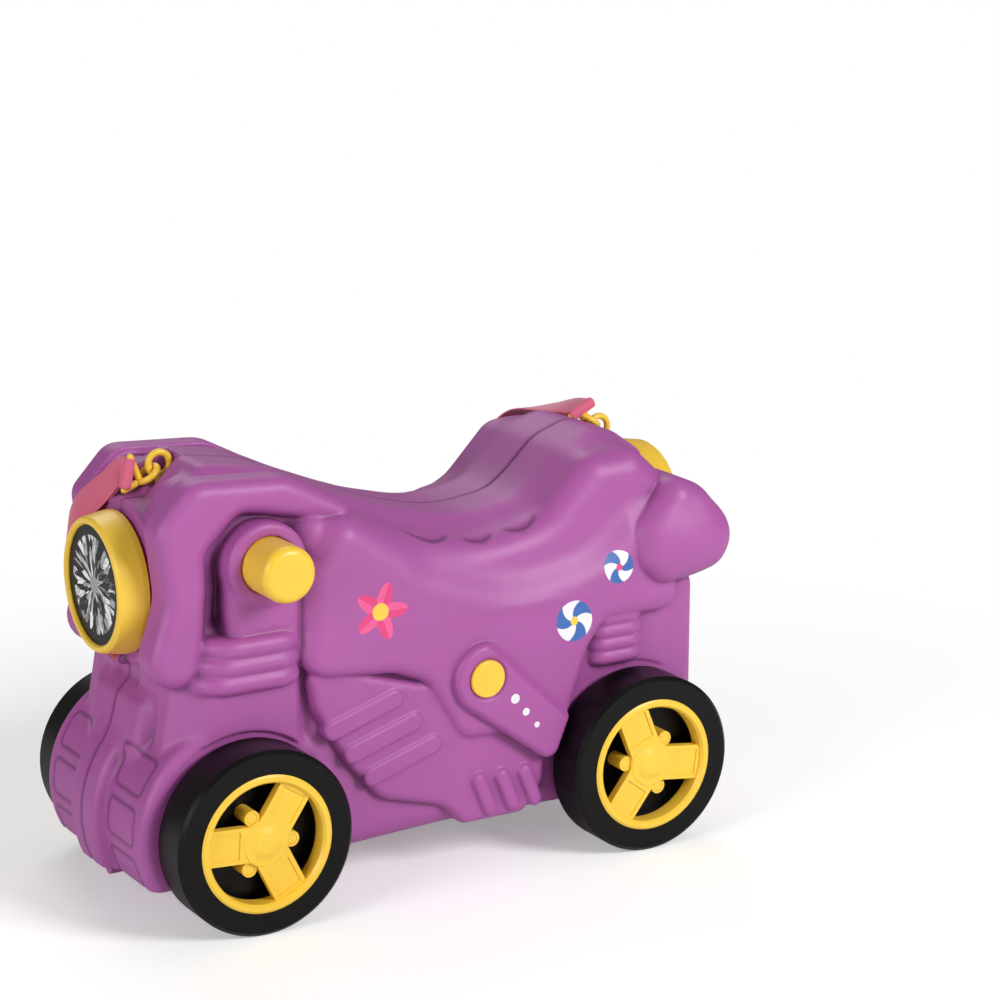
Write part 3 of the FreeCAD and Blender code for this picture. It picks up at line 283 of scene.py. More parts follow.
# Depths of the forms from the parting plane, and where those that stand clear of it start
HEAD_DEPTH = BODY_DEPTH - 21
HEAD_START = 24.0
SPINE_DEPTH = HEAD_DEPTH - 16
POD_DEPTH = BODY_DEPTH + 10
ENGINE_DEPTH = BODY_DEPTH + 7
ARM_DEPTH = BODY_DEPTH + 17
TAIL_DEPTH = BODY_DEPTH + 18
FAIRING_DEPTH = HEAD_DEPTH + 15
FAIRING_START = LAMP_RADIUS + 4.5
CHEEK_DEPTH = HEAD_DEPTH + 7
FORK_START = HEAD_DEPTH - 8
SKIRT_DEPTH = BODY_DEPTH + 3
COLUMN_DEPTH = BODY_DEPTH + 2.5
BOSS_DEPTH = BODY_DEPTH + 5
FOLD_DEPTH = BODY_DEPTH + 9
FLANGE_DEPTH = 20.0

# Edge radii of the large forms, softness of their joins, and what the saddle adds to it
SPINE_EDGE = 12.0
HEAD_EDGE = 10.0
BODY_EDGE = 18.0
POD_EDGE = 15.0
POD_LOWER_EDGE = 8.0
POD_LOWER_GROWTH = 1.8
HEAD_SOFT = 7.0
BODY_SOFT = 9.0
POD_SOFT = 5.0
FENDER_SOFT = 5.0
SADDLE_SOFT = 15.0

# Tail lobe's edge and growth, and its crown: x, z, half length, half height, start and rise
TAIL_EDGE = 16.0
TAIL_GROWTH = 0.5
CROWN = (TAIL_BACK, LAMP - 4, 40, 27, TAIL_DEPTH - 15, 21)
CROWN_SOFT = 8.0

# Round forms; a lamp collar has its face, the way out and its radius
FENDER_RADIUS = 74.0
FLANGE_RADIUS = 82.0
BOSS_RADIUS = 28.0
COLLARS = [(HEAD_FRONT, -1, 56.0), (TAIL_BACK, 1, 50.0)]
COLLAR_PROUD = 2.5
COLLAR_BACK = 12.0

# Seats of the wheels, grip and button by x, z, radius, depth and softness, then the latch pockets, and the
# strap's wells by start, end and floor
SEATS = [
    (FRONT, TYRE_RADIUS, 68.2, BODY_DEPTH + SKIN, 1.2), (REAR, TYRE_RADIUS, 68.2, BODY_DEPTH + SKIN, 1.2),
    (GRIP_X, GRIP_Z, 20.3, BODY_DEPTH + 1.8, 0.8), (BUTTON_X, BUTTON_Z, 15.0, ARM_DEPTH + 0.3, 0.8),
]
POCKET_BACK = 12.3
POCKET_WIDTH = 10.8
POCKET_LOW = LAMP + 28.2
POCKET_HIGH = LAMP + 38
WELLS = [(-FAR, FRONT - 1.7, LAMP + 60.7), (REAR + 15.7, FAR, LAMP + 45.7)]
WELL_WIDTH = 24.3

# Side arm's growth over its solid, narrow bevel and softness, and the wide bevel along its upper rear edge
ARM_GROWTH = 1.2
ARM_BEVEL = 2.4
ARM_WIDE_BEVEL = 6.8
ARM_SOFT = 0.8

# Gaiters of the fork and the shock absorber: left end, right end, back, lowest fold, number of folds, pitch,
# thickness, corner radius, and how much wider each fold is than the next one up
GAITERS = [
    (GRIP_X - 45, GRIP_X + 27, HEAD_DEPTH - 14, LAMP - 58, 3, 12.0, 12.4, 21, 4),
    (REAR - 34, REAR + 12, BODY_DEPTH - 12, LAMP - 85.5, 4, 9.5, 9.9, 14, 0),
]
FOLD_SOFT = 1.2

# Bars and toes on the engine cover: first end, step to the next, run, width, depth, edge radius and softness
FINGERS = [
    ((-88, LAMP - 102), (15, -19), (48, 15), 12, ENGINE_DEPTH + 2, 1.2, 1.0),
    ((27, 68), (19, 0), (9, -22), 9, ENGINE_DEPTH + 4, 2.6, 1.4),
]

# Grooves with their width and depth: crescents by middle and half length, and the fender's panels by angle
CRESCENTS = [(0, 16), (39, 10), (74, 11)]
CRESCENT_OUT = 70.0
CRESCENT_GROOVE = (2.0, 1.0)
PANEL_TURNS = [-0.37, 0.11, 0.585]
PANEL_OUT = 46.0
PANEL_HALF_WIDTH = 15.0
PANEL_HALF_LENGTH = 8.0
PANEL_CORNER = 5.0
PANEL_GROOVE = (1.2, 0.8)
PARTING_GROOVE = (1.7, 0.8)


def add_form(form, space, corners, soft, make, margin=16):
    """Join one more form into the field, worked out only near its corners in the side view."""
    places = np.array([corner[:2] for corner in corners])
    low = places.min(0) - margin
    high = places.max(0) + margin
    near = space.window(low[0], high[0], low[1], high[1])
    form[near.cut] = join(form[near.cut], make(near), soft)


def cut_form(form, near, cutter, soft):
    """Take a form away from the field inside a window of it."""
    form[near.cut] = carve(form[near.cut], cutter, soft)


def large_forms(space):
    """Spine, head, body, front fender and pod. Their joins are soft along the saddle and tight at the flat
    rear, and the pod's lower edge stands out a little over the engine cover."""
    saddle = np.clip((space.x + 90) / 60, 0, 1)
    tight = np.clip((REAR + 33 - space.x) / 35, 0.15, 1)
    upper = np.clip((space.z - LAMP + 52) / 16, 0, 1)
    lower = np.clip((LAMP - 30 - space.z) / 26, 0, 1)
    form = space.plateau(SPINE, SPINE_DEPTH, SPINE_EDGE)
    form = join(form, space.plateau(HEAD, HEAD_DEPTH, HEAD_EDGE, HEAD_START), HEAD_SOFT)
    body = space.plateau(BODY, BODY_DEPTH, BODY_EDGE)
    form = join(form, body, (BODY_SOFT + SADDLE_SOFT * saddle) * tight)
    for radius, depth, edge in ((FENDER_RADIUS, BODY_DEPTH, 7), (FLANGE_RADIUS, FLANGE_DEPTH, 5)):
        disc = space.sideways_disc(radius, FRONT, TYRE_RADIUS, depth, edge)
        form = join(form, np.maximum(disc, FLOOR_HEIGHT - space.z), FENDER_SOFT)
    pod_edge = POD_EDGE - (POD_EDGE - POD_LOWER_EDGE) * lower
    pod = space.plateau(POD, POD_DEPTH, pod_edge, grow=POD_LOWER_GROWTH * lower)
    return join(form, pod, (POD_SOFT + SADDLE_SOFT * upper * saddle) * tight)


def tail_lobe(near):
    """Lobe beside the tail lamp: a plateau with a broad round edge under a low crown."""
    lobe = near.plateau(TAIL, TAIL_DEPTH, TAIL_EDGE, FAIRING_START, TAIL_GROWTH)
    return join(lobe, near.crown(*CROWN), CROWN_SOFT)


def arm_block(near):
    """Side arm: a steep block with a wide bevel along its upper rear edge."""
    block = near.faceted(rounded_outline(ARM), ARM_DEPTH + ARM_GROWTH, ARM_BEVEL, -FAR, ARM_SOFT)
    start = np.array(ARM[1][:2])
    along = unit(np.array(ARM[2][:2]) - start)
    beyond = (near.z - start[1]) * along[0] - (near.x - start[0]) * along[1]
    return both(block, (beyond - near.y - ARM_DEPTH + ARM_WIDE_BEVEL) * math.sqrt(0.5), ARM_SOFT)


def add_small_forms(form, space):
    """Plateaus, facets, arm, grip boss and lamp collars on the large forms."""
    plateaus = [
        (HAUNCH, BODY_DEPTH, 10, FAIRING_START, 6, 0), (FAIRING, FAIRING_DEPTH, 9.5, FAIRING_START, 3, 1.2),
        (ENGINE, ENGINE_DEPTH, 5, -FAR, 1.6, 0), (CHEEK, CHEEK_DEPTH, 6, FORK_START, 2, 0),
    ]
    for corners, depth, edge, start, soft, grow in plateaus:
        add_form(form, space, corners, soft, lambda near: near.plateau(corners, depth, edge, start, grow))
    add_form(form, space, TAIL, 0.9, tail_lobe)
    for corners, depth, bevel, soft in ((SKIRT, SKIRT_DEPTH, 22, 4), (COLUMN, COLUMN_DEPTH, 5, 2.5)):
        add_form(form, space, corners, soft, lambda near: near.faceted(corners, depth, bevel, FORK_START))
    add_form(form, space, ARM, ARM_SOFT, arm_block)
    add_form(form, space, [(GRIP_X, GRIP_Z)], 2.5,
             lambda near: near.sideways_disc(BOSS_RADIUS, GRIP_X, GRIP_Z, BOSS_DEPTH, 3), BOSS_RADIUS + 16)
    for face, out, radius in COLLARS:
        start, end = sorted((face + out * COLLAR_PROUD, face - out * COLLAR_BACK))
        add_form(form, space, [(start, LAMP - radius), (end, LAMP + radius)], 2,
                 lambda near: near.lengthwise_disc(radius, LAMP, start, end, 1))


def add_folds(form, space):
    """Gaiters of the front fork and of the rear shock absorber."""
    for left, right, back, low, count, pitch, thickness, corner, taper in GAITERS:
        for i in range(count):
            x = left - taper * (count - 1 - i)
            z = low + pitch * i
            add_form(form, space, [(x, z), (right, z)], FOLD_SOFT,
                     lambda near: near.fold(x, right, back, FOLD_DEPTH, z, thickness, corner))


def add_fingers(form, space):
    """Three slanting bars and three toes on the engine cover."""
    for first, step, run, width, depth, edge, soft in FINGERS:
        for i in range(3):
            x = first[0] + step[0] * i
            z = first[1] + step[1] * i
            ends = [(x, z), (x + run[0], z + run[1])]
            add_form(form, space, ends, soft, lambda near: near.finger(ends, width, depth, edge))


def engrave(form, painted_shade, near, distance, width, depth):
    """Shallow groove along a line: the surface sinks by a bell curve of the distance from it, and the
    same curve is kept as painted shade in the groove.
    """
    sink_and_shade = np.exp(-(distance / width) ** 2)
    form[near.cut] += depth * sink_and_shade
    painted_shade[near.cut] = np.maximum(painted_shade[near.cut], sink_and_shade)


def engrave_lines(form, painted_shade, space):
    """Crescents beside the saddle, panel lines on the front fender and the line along the parting plane."""
    for x, half_length in CRESCENTS:
        near = space.window(x - 34, x + 34, LAMP + 4, LAMP + 44)
        bow = near.y + CRESCENT_OUT - (near.x - x) ** 2 / 36
        ends = np.maximum(np.abs(near.x - x) - half_length, 0)
        engrave(form, painted_shade, near, np.hypot(bow, ends), *CRESCENT_GROOVE)
    near = space.window(FRONT - 90, FRONT - 10, 24, 150)
    turn = np.arctan2(near.z - TYRE_RADIUS, FRONT - near.x)
    across = np.abs(near.y + PANEL_OUT) - PANEL_HALF_WIDTH
    for middle in PANEL_TURNS:
        along = np.abs(turn - middle) * FENDER_RADIUS - PANEL_HALF_LENGTH
        engrave(form, painted_shade, near, corner_distance(along, across) - PANEL_CORNER, *PANEL_GROOVE)
    near = space.window(-FAR, FAR, -FAR, FAR)
    engrave(form, painted_shade, near, np.abs(near.y), *PARTING_GROOVE)


def cut_seats(form, space):
    """Wheel arches, seats of the grip and the button, and pockets for the latch tongues."""
    for x, z, radius, depth, soft in SEATS:
        reach = radius + 16
        near = space.window(x - reach, x + reach, z - reach, z + reach)
        seat = np.hypot(near.x - x, near.z - z) - radius
        cut_form(form, near, np.maximum(seat, near.y + depth), soft)
    for face, out, _ in COLLARS:
        near = space.window(face - 30, face + 30, LAMP + 10, LAMP + 60)
        start, end = sorted((face - out * POCKET_BACK, out * FAR))
        cut_form(form, near, near.box(start, end, -POCKET_WIDTH, FAR, POCKET_LOW, POCKET_HIGH), 0.5)


def moulded_half(space):
    """Distance field of the left half, raised to its skin, and the painted shade of its grooves from 0 to 1.
    """
    form = large_forms(space)
    add_small_forms(form, space)
    add_folds(form, space)
    add_fingers(form, space)
    form -= SKIN
    painted_shade = np.zeros(form.shape, np.float32)
    engrave_lines(form, painted_shade, space)
    cut_seats(form, space)
    return form, painted_shade


def with_wells(space, form):
    """The same field with the two open wells beside the parting plane, where the strap's eyes stand."""
    form = form.copy()
    for start, end, floor in WELLS:
        form = carve(form, space.box(start, end, -WELL_WIDTH, FAR, floor, FAR), 0.5)
    return form


OTHER_AXES = [(1, 2), (0, 2), (0, 1)]


def cut_along(axis, part):
    """Slices that keep a part of a grid along one axis."""
    return tuple(part if i == axis else slice(None) for i in range(3))


def surface_net(space, field):
    """Points and outward quads of a field's zero surface: one point in each crossed cell, at the mean of its
    edge crossings, and one quad round each crossed edge."""
    inside = field < 0
    total = np.zeros(tuple(n - 1 for n in field.shape) + (3,), np.float32)
    count = np.zeros(total.shape[:3], np.float32)
    crossed = []
    for axis, others in enumerate(OTHER_AXES):
        low = cut_along(axis, slice(None, -1))
        high = cut_along(axis, slice(1, None))
        a = field[low]
        hit = inside[low] != inside[high]
        crossed.append((hit, inside[low]))
        share = np.where(hit, a / np.where(hit, a - field[high], 1), 0)
        for shift in ((0, 0), (0, 1), (1, 0), (1, 1)):
            cut = [slice(None)] * 3
            for other, step in zip(others, shift):
                cut[other] = slice(step, field.shape[other] - 1 + step)
            part = hit[tuple(cut)]
            total[..., axis] += share[tuple(cut)]
            for other, step in zip(others, shift):
                total[..., other] += part * step
            count += part
    used = count > 0
    cells = np.argwhere(used)
    points = space.low + space.cell * (cells + total[used] / count[used][:, None])
    number = np.full(used.shape, -1, np.int64)
    number[used] = np.arange(len(cells))
    quads = []
    for axis, others in enumerate(OTHER_AXES):
        hit, first_inside = crossed[axis]
        at = np.argwhere(hit)
        limit = np.array(used.shape)
        at = at[np.all([(at[:, o] > 0) & (at[:, o] < limit[o]) for o in others], axis=0)]
        ring = []
        for shift in ((-1, -1), (0, -1), (0, 0), (-1, 0)):
            cell = at.copy()
            cell[:, others[0]] += shift[0]
            cell[:, others[1]] += shift[1]
            ring.append(number[tuple(cell.T)])
        quad = np.stack(ring, 1)
        flip = first_inside[tuple(at.T)] == (axis == 1)
        quad[flip] = quad[flip][:, ::-1]
        quads.append(quad)
    return points, np.concatenate(quads)


def sampled(space, grid, points):
    """Values of a grid at points between its own, mixed from the eight round each."""
    place = (points - space.low) / space.cell
    base = np.clip(np.floor(place).astype(int), 0, np.array(grid.shape[:3]) - 2)
    part = place - base
    value = 0
    for corner in np.ndindex(2, 2, 2):
        weight = np.prod(np.where(corner, part, 1 - part), axis=1)
        index = tuple((base + corner).T)
        value = value + grid[index] * (weight if grid.ndim == 3 else weight[:, None])
    return value


def skin_surface(space, field, parting):
    """Points, normals and quads of a half's outer skin with a narrow rim at the parting plane and an open
    mouth. Points are moved onto the zero surface along the field's slope, which also gives the normals."""
    points, quads = surface_net(space, np.maximum(field, space.y + parting))
    at_plane = points[:, 1] > -parting - 0.6 * space.cell
    depth = sampled(space, field, points)
    mouth = at_plane & (depth < -RIM)
    quads = quads[~mouth[quads].all(1)]
    slope = np.stack(np.gradient(field, space.cell), -1)
    for _ in range(2):
        way = sampled(space, slope, points)
        length = np.maximum((way ** 2).sum(1), 0.2)
        move = -(sampled(space, field, points) / length)[:, None] * way
        points = points + np.where(at_plane[:, None], 0, np.clip(move, -0.6, 0.6))
    normals = sampled(space, slope, points)
    normals /= np.linalg.norm(normals, axis=1, keepdims=True) + 1e-9
    normals[at_plane & (depth < -0.5 * space.cell)] = (0, 1, 0)
    return points, normals, quads


# Materials
def fill(tree, node, sockets):
    """Set or link a node's inputs, by name or number, from constants or other nodes' outputs."""
    for key, value in sockets.items():
        if isinstance(value, bpy.types.NodeSocket):
            tree.links.new(value, node.inputs[key])
        else:
            node.inputs[key].default_value = value


def add(tree, kind, sockets, **settings):
    """Outputs of one new shader node."""
    node = tree.nodes.new("ShaderNode" + kind)
    for key, value in settings.items():
        setattr(node, key, value)
    fill(tree, node, sockets)
    return node.outputs


def math_node(tree, operation, *values):
    """Result of one arithmetic step."""
    return add(tree, "Math", dict(enumerate(values)), operation=operation)[0]


def times(tree, a, b, plus=0.0):
    """Product of two values, plus a third."""
    return math_node(tree, "MULTIPLY_ADD", a, b, plus)


def ramp(tree, value, start, end, low=0.0, high=1.0):
    """Value brought from one range to another and held at its ends."""
    sockets = {"Value": value, "From Min": start, "From Max": end, "To Min": low, "To Max": high}
    return add(tree, "MapRange", sockets)[0]


def mixed(tree, share, a, b):
    """Colour between a and b."""
    return add(tree, "Mix", {0: share, 6: a, 7: b}, data_type="RGBA")[2]


def mapped(tree, vector, **sockets):
    """Vector moved, turned or stretched."""
    return add(tree, "Mapping", {"Vector": vector, **sockets})[0]


def noise(tree, vector, scale, detail=2.0, roughness=0.5):
    """Value of a noise texture."""
    sockets = {"Vector": vector, "Scale": scale, "Detail": detail, "Roughness": roughness}
    return add(tree, "TexNoise", sockets)[0]


def relief(tree, height, strength, distance):
    """Normal of a surface with a relief on it."""
    return add(tree, "Bump", {"Strength": strength, "Distance": distance, "Height": height})[0]


def length_of(tree, vector):
    """Length of a vector."""
    return add(tree, "VectorMath", {0: vector}, operation="LENGTH")["Value"]


def polar(tree, across, up):
    """Distance from an axis and angle round it."""
    flat = add(tree, "CombineXYZ", {"X": across, "Y": up})[0]
    return length_of(tree, flat), math_node(tree, "ARCTAN2", up, across)


def new_group(name, outputs, vectors=("Vector",), **floats):
    """Empty shader group with vector and float inputs and float outputs."""
    group = bpy.data.node_groups.new(name, "ShaderNodeTree")
    for label in vectors:
        group.interface.new_socket(name=label, in_out="INPUT", socket_type="NodeSocketVector")
    for label, value in floats.items():
        socket = group.interface.new_socket(name=label, in_out="INPUT", socket_type="NodeSocketFloat")
        socket.default_value = value
    for label in outputs:
        group.interface.new_socket(name=label, in_out="OUTPUT", socket_type="NodeSocketFloat")
    return group, group.nodes.new("NodeGroupInput").outputs, group.nodes.new("NodeGroupOutput")


def moulded_grain_group():
    """Fine spark-eroded grain of moulded plastic with slow tone changes and faint flow lines."""
    group, given, out = new_group("moulded_grain", ["Height", "Tone"], Grain=1400.0)
    vector = given["Vector"]
    flow = noise(group, mapped(group, vector, Scale=(6.0, 22.0, 60.0)), 1.0, 1.0)
    tone = times(group, flow, 0.25, noise(group, vector, 9.0, 3.0))
    grain = noise(group, vector, given["Grain"], roughness=0.6)
    fill(group, out, {"Height": grain, "Tone": math_node(group, "SUBTRACT", tone, 0.12)})
    return group


def scuff_group():
    """Mask of short, thin handling marks: two stretched noises cut at a high level and broken by a third."""
    group, given, out = new_group("scuffs", ["Mask"], Amount=0.5)
    vector = given["Vector"]
    marks = []
    for turn, scale in (((0.3, 0.5, 0.2), (30.0, 420.0, 380.0)), ((-0.6, 0.2, 0.9), (360.0, 34.0, 400.0))):
        lines = noise(group, mapped(group, vector, Rotation=turn, Scale=scale), 1.0)
        marks.append(ramp(group, lines, 0.66, 0.76))
    where = ramp(group, noise(group, vector, 14.0), 0.5, 0.7)
    amount = times(group, where, given["Amount"])
    fill(group, out, {"Mask": times(group, math_node(group, "MAXIMUM", *marks), amount)})
    return group


def weave_group():
    """Plain weave on a UV map in metres: sines of the places across and along are warp and weft, and their
    product says which one is on top."""
    group, given, out = new_group("band_weave", ["Height", "Over"], Across=1400.0, Along=900.0)
    parts = add(group, "SeparateXYZ", {"Vector": given["Vector"]})
    warp = math_node(group, "SINE", times(group, parts[0], given["Across"]))
    weft = math_node(group, "SINE", times(group, parts[1], given["Along"]))
    over = times(group, warp, weft)
    lift = math_node(group, "ADD", math_node(group, "ABSOLUTE", warp), math_node(group, "ABSOLUTE", weft))
    height = times(group, over, 0.3, times(group, lift, 0.35))
    fill(group, out, {"Height": height, "Over": times(group, over, 0.5, 0.5)})
    return group


def sticker_group():
    """Round sticker on both sides of the case about a place in the side view: a wavy edge by the cosine of
    the angle, a round core, and sectors that turn with the radius."""
    group, given, out = new_group("sticker", ["Inside", "Core", "Sector"], ["Vector", "Place"],
                                  Radius=0.02, Petals=5.0, Wave=0.25, Core=0.3, Twist=0.0)
    local = add(group, "VectorMath", {0: given["Vector"], 1: given["Place"]}, operation="SUBTRACT")[0]
    parts = add(group, "SeparateXYZ", {"Vector": local})
    length, angle = polar(group, parts[0], parts[2])
    reach = math_node(group, "DIVIDE", length, given["Radius"])
    turned = times(group, angle, given["Petals"])
    bulge = math_node(group, "SUBTRACT", math_node(group, "COSINE", turned), 1.0)
    wave = times(group, given["Wave"], 0.5)
    edge = times(group, bulge, wave, 1.0)
    inside = ramp(group, math_node(group, "SUBTRACT", edge, reach), -0.01, 0.03)
    on_side = ramp(group, math_node(group, "ABSOLUTE", parts[1]), 0.07, 0.071)
    swirl = times(group, reach, given["Twist"], turned)
    fill(group, out, {
        "Inside": times(group, inside, on_side),
        "Core": ramp(group, math_node(group, "SUBTRACT", given["Core"], reach), -0.01, 0.03),
        "Sector": ramp(group, math_node(group, "SINE", swirl), -0.08, 0.08),
    })
    return group


GRAIN = moulded_grain_group()
SCUFFS = scuff_group()
WEAVE = weave_group()
STICKER = sticker_group()


def linear(red, green, blue):
    """Colour for a socket from screen values of 0 to 255."""
    part = np.array([red, green, blue]) / 255
    value = np.where(part <= 0.04045, part / 12.92, ((part + 0.055) / 1.055) ** 2.4)
    return (*[float(v) for v in value], 1.0)


def start_material(name, **principled):
    """Material with a Principled shader, some of its constants, and coordinates."""
    material = bpy.data.materials.new(name)
    material.use_nodes = True
    tree = material.node_tree
    shader = tree.nodes["Principled BSDF"]
    fill(tree, shader, {key.replace("_", " "): value for key, value in principled.items()})
    return material, tree, shader, add(tree, "TexCoord", {})


def placed_group(tree, group, **sockets):
    """Outputs of one copy of a shared group in a material."""
    node = tree.nodes.new("ShaderNodeGroup")
    node.node_tree = group
    fill(tree, node, sockets)
    return node.outputs


# Stickers: x, z, radius, petals, wave, core, twist, and the colours of the two sectors and of the core
ROSE = linear(226, 66, 128)
PALE_ROSE = linear(236, 92, 150)
BLUE = linear(58, 104, 176)
CHALK = linear(238, 236, 240)
SUN = linear(250, 205, 70)
STICKERS = [
    (-52, LAMP - 22, 21, 5.0, 0.5, 0.3, 0.0, ROSE, PALE_ROSE, SUN),
    (104, LAMP - 52, 15, 3.0, 0.0, 0.22, 2.6, BLUE, CHALK, SUN),
    (142, LAMP - 18, 12, 3.0, 0.0, 0.22, -2.6, BLUE, CHALK, ROSE),
]
DOT = linear(236, 232, 236)
# Deep purple of the painted shade in grooves and inner corners
GROOVE_SHADE = linear(58, 18, 52)


def with_stickers(tree, vector, tone):
    """Colour with the stickers over it: a pink flower, two pinwheels and three pale dots on the arm."""
    for x, z, radius, petals, wave, core, twist, first, second, centre in STICKERS:
        mask = placed_group(tree, STICKER, Vector=vector, Place=(x * MM, 0, z * MM), Radius=radius * MM,
                            Petals=petals, Wave=wave, Core=core, Twist=twist)
        face = mixed(tree, mask["Core"], mixed(tree, mask["Sector"], first, second), centre)
        tone = mixed(tree, mask["Inside"], tone, face)
    for step in range(3):
        place = ((BUTTON_X + 22 + 9 * step) * MM, 0, (BUTTON_Z - 18 - 11 * step) * MM)
        radius = (3.6 - 0.7 * step) * MM
        mask = placed_group(tree, STICKER, Vector=vector, Place=place, Radius=radius, Wave=0.0, Core=0.0)
        tone = mixed(tree, mask["Inside"], tone, DOT)
    return tone


def plastic(name, dark, light, worn, roughness, grain=1400.0, bump=0.06, scuffs=0.4, stickers=False,
            **principled):
    """Moulded plastic: two close tones, pale handling marks, and roughness and bump from its grain. With
    stickers, grooves and inner corners get painted shade too."""
    material, tree, shader, coordinates = start_material(name, **principled)
    vector = coordinates["Object"]
    surface = placed_group(tree, GRAIN, Vector=vector, Grain=grain)
    marks = placed_group(tree, SCUFFS, Vector=vector, Amount=scuffs)["Mask"]
    tone = mixed(tree, surface["Tone"], dark, light)
    if stickers:
        tone = with_stickers(tree, vector, tone)
        # Painted shade: grooves and inner corners darken toward a deep purple by the mesh's shade attribute
        sink_and_shade = add(tree, "Attribute", {}, attribute_name="painted_shade")["Fac"]
        tone = mixed(tree, times(tree, sink_and_shade, 0.68), tone, GROOVE_SHADE)
    rough = ramp(tree, surface["Tone"], 0.0, 1.0, roughness - 0.05, roughness + 0.06)
    height = math_node(tree, "SUBTRACT", surface["Height"], marks)
    fill(tree, shader, {
        "Base Color": mixed(tree, marks, tone, worn),
        "Roughness": times(tree, marks, 0.12, rough),
        "Normal": relief(tree, height, bump, 0.0004),
    })
    return material


def webbing(name, dark, light, across, along, sheen):
    """Woven band: tone and relief from its weave on the band's own UV map, with slow fading."""
    material, tree, shader, coordinates = start_material(
        name, Sheen_Weight=sheen, Sheen_Roughness=0.4, Specular_IOR_Level=0.2)
    weave = placed_group(tree, WEAVE, Vector=coordinates["UV"], Across=across, Along=along)
    fade = times(tree, noise(tree, coordinates["Object"], 26.0, 3.0), 0.5)
    share = times(tree, weave["Over"], 0.55, fade)
    fill(tree, shader, {
        "Base Color": mixed(tree, share, dark, light),
        "Roughness": ramp(tree, weave["Height"], 0.0, 1.0, 0.9, 0.62),
        "Normal": relief(tree, weave["Height"], 0.5, 0.0003),
    })
    return material


def bright_steel():
    """Zinc-plated steel: fine turned lines in tone and roughness."""
    material, tree, shader, coordinates = start_material("bright_steel", Metallic=1.0)
    lines = noise(tree, mapped(tree, coordinates["Object"], Scale=(900.0, 40.0, 900.0)), 1.0)
    fill(tree, shader, {
        "Base Color": mixed(tree, lines, linear(150, 150, 148), linear(205, 205, 204)),
        "Roughness": ramp(tree, lines, 0.0, 1.0, 0.24, 0.42),
    })
    return material


def lamp_face():
    """Printed lamp face about the lamp's axis: uneven silver shards on black, a dark rim and a grey bulb."""
    material, tree, shader, coordinates = start_material("lamp_face", Specular_IOR_Level=0.22)
    centred = mapped(tree, coordinates["Object"], Location=(0, 0, -LAMP * MM))
    parts = add(tree, "SeparateXYZ", {"Vector": centred})
    radius, angle = polar(tree, parts[1], parts[2])
    wedges = times(tree, angle, 7.0)
    rings = times(tree, radius, 90.0)
    chart = add(tree, "CombineXYZ", {"X": wedges, "Y": rings})[0]
    shards = add(tree, "TexVoronoi", {"Vector": chart, "Scale": 1.0, "Randomness": 0.9})
    pick = add(tree, "SeparateColor", {"Color": shards["Color"]})[0]
    level = times(tree, noise(tree, chart, 2.2, 3.0), 0.7, pick)
    within = ramp(tree, radius, 0.0335, 0.0345, 1.0, 0.0)
    silver = times(tree, ramp(tree, level, 0.78, 1.25), within)
    tone = mixed(tree, silver, linear(8, 8, 9), linear(248, 249, 251))
    off_bulb = ramp(tree, radius, 0.0058, 0.0064)
    fill(tree, shader, {
        "Base Color": mixed(tree, off_bulb, linear(160, 162, 166), tone),
        "Roughness": ramp(tree, silver, 0.0, 1.0, 0.34, 0.2),
        "Normal": relief(tree, silver, 0.3, 0.0004),
    })
    return material


PURPLE_TONES = (linear(162, 78, 150), linear(176, 92, 164), linear(192, 120, 182))
PURPLE_FINISH = {"roughness": 0.47, "grain": 900.0, "bump": 0.26, "scuffs": 0.2}
PURPLE = plastic("purple_satin", *PURPLE_TONES, **PURPLE_FINISH)
SHELL = plastic("purple_satin_with_stickers_and_painted_shade", *PURPLE_TONES, stickers=True, **PURPLE_FINISH)
YELLOW = plastic("yellow_semi_gloss", linear(244, 193, 50), linear(250, 211, 74), linear(255, 228, 130),
                 0.34, grain=900.0, bump=0.03, scuffs=0.25)
BLACK = plastic("black_wheel", linear(7, 7, 7), linear(13, 12, 12), linear(44, 42, 40), 0.34,
                grain=700.0, bump=0.1, scuffs=0.35, Specular_IOR_Level=0.2)
RED = plastic("red_latch", linear(160, 26, 22), linear(192, 44, 34), linear(214, 96, 84), 0.38, bump=0.03)
WHITE = plastic("white_stud", linear(214, 214, 210), linear(236, 236, 232), linear(190, 188, 182), 0.4,
                bump=0.03)
STEEL = bright_steel()
LAMP_FACE = lamp_face()
PINK = webbing("pink_webbing", linear(200, 78, 112), linear(236, 126, 156), 5200.0, 2600.0, 0.3)
ELASTIC = webbing("white_elastic", linear(206, 206, 204), linear(240, 240, 238), 6000.0, 1500.0, 0.2)
SLOT_MATERIALS = {
    "shell": PURPLE, "yellow": YELLOW, "wheel_black": BLACK, "steel": STEEL, "latch_red": RED,
    "lamp_face": LAMP_FACE, "webbing": PINK, "elastic": ELASTIC, "stud_white": WHITE,
}
for part in frame["record"]["subparts"]:
    name = part["node"]
    slots = frame["nodes"][name].data.materials
    slots.clear()
    slots.append(YELLOW if name.endswith("rim_screws") else SLOT_MATERIALS[part["material_slot"]])


# New pieces
def new_object(name, data):
    """Object of some data in the scene."""
    thing = bpy.data.objects.new(name, data)
    scene.collection.objects.link(thing)
    return thing


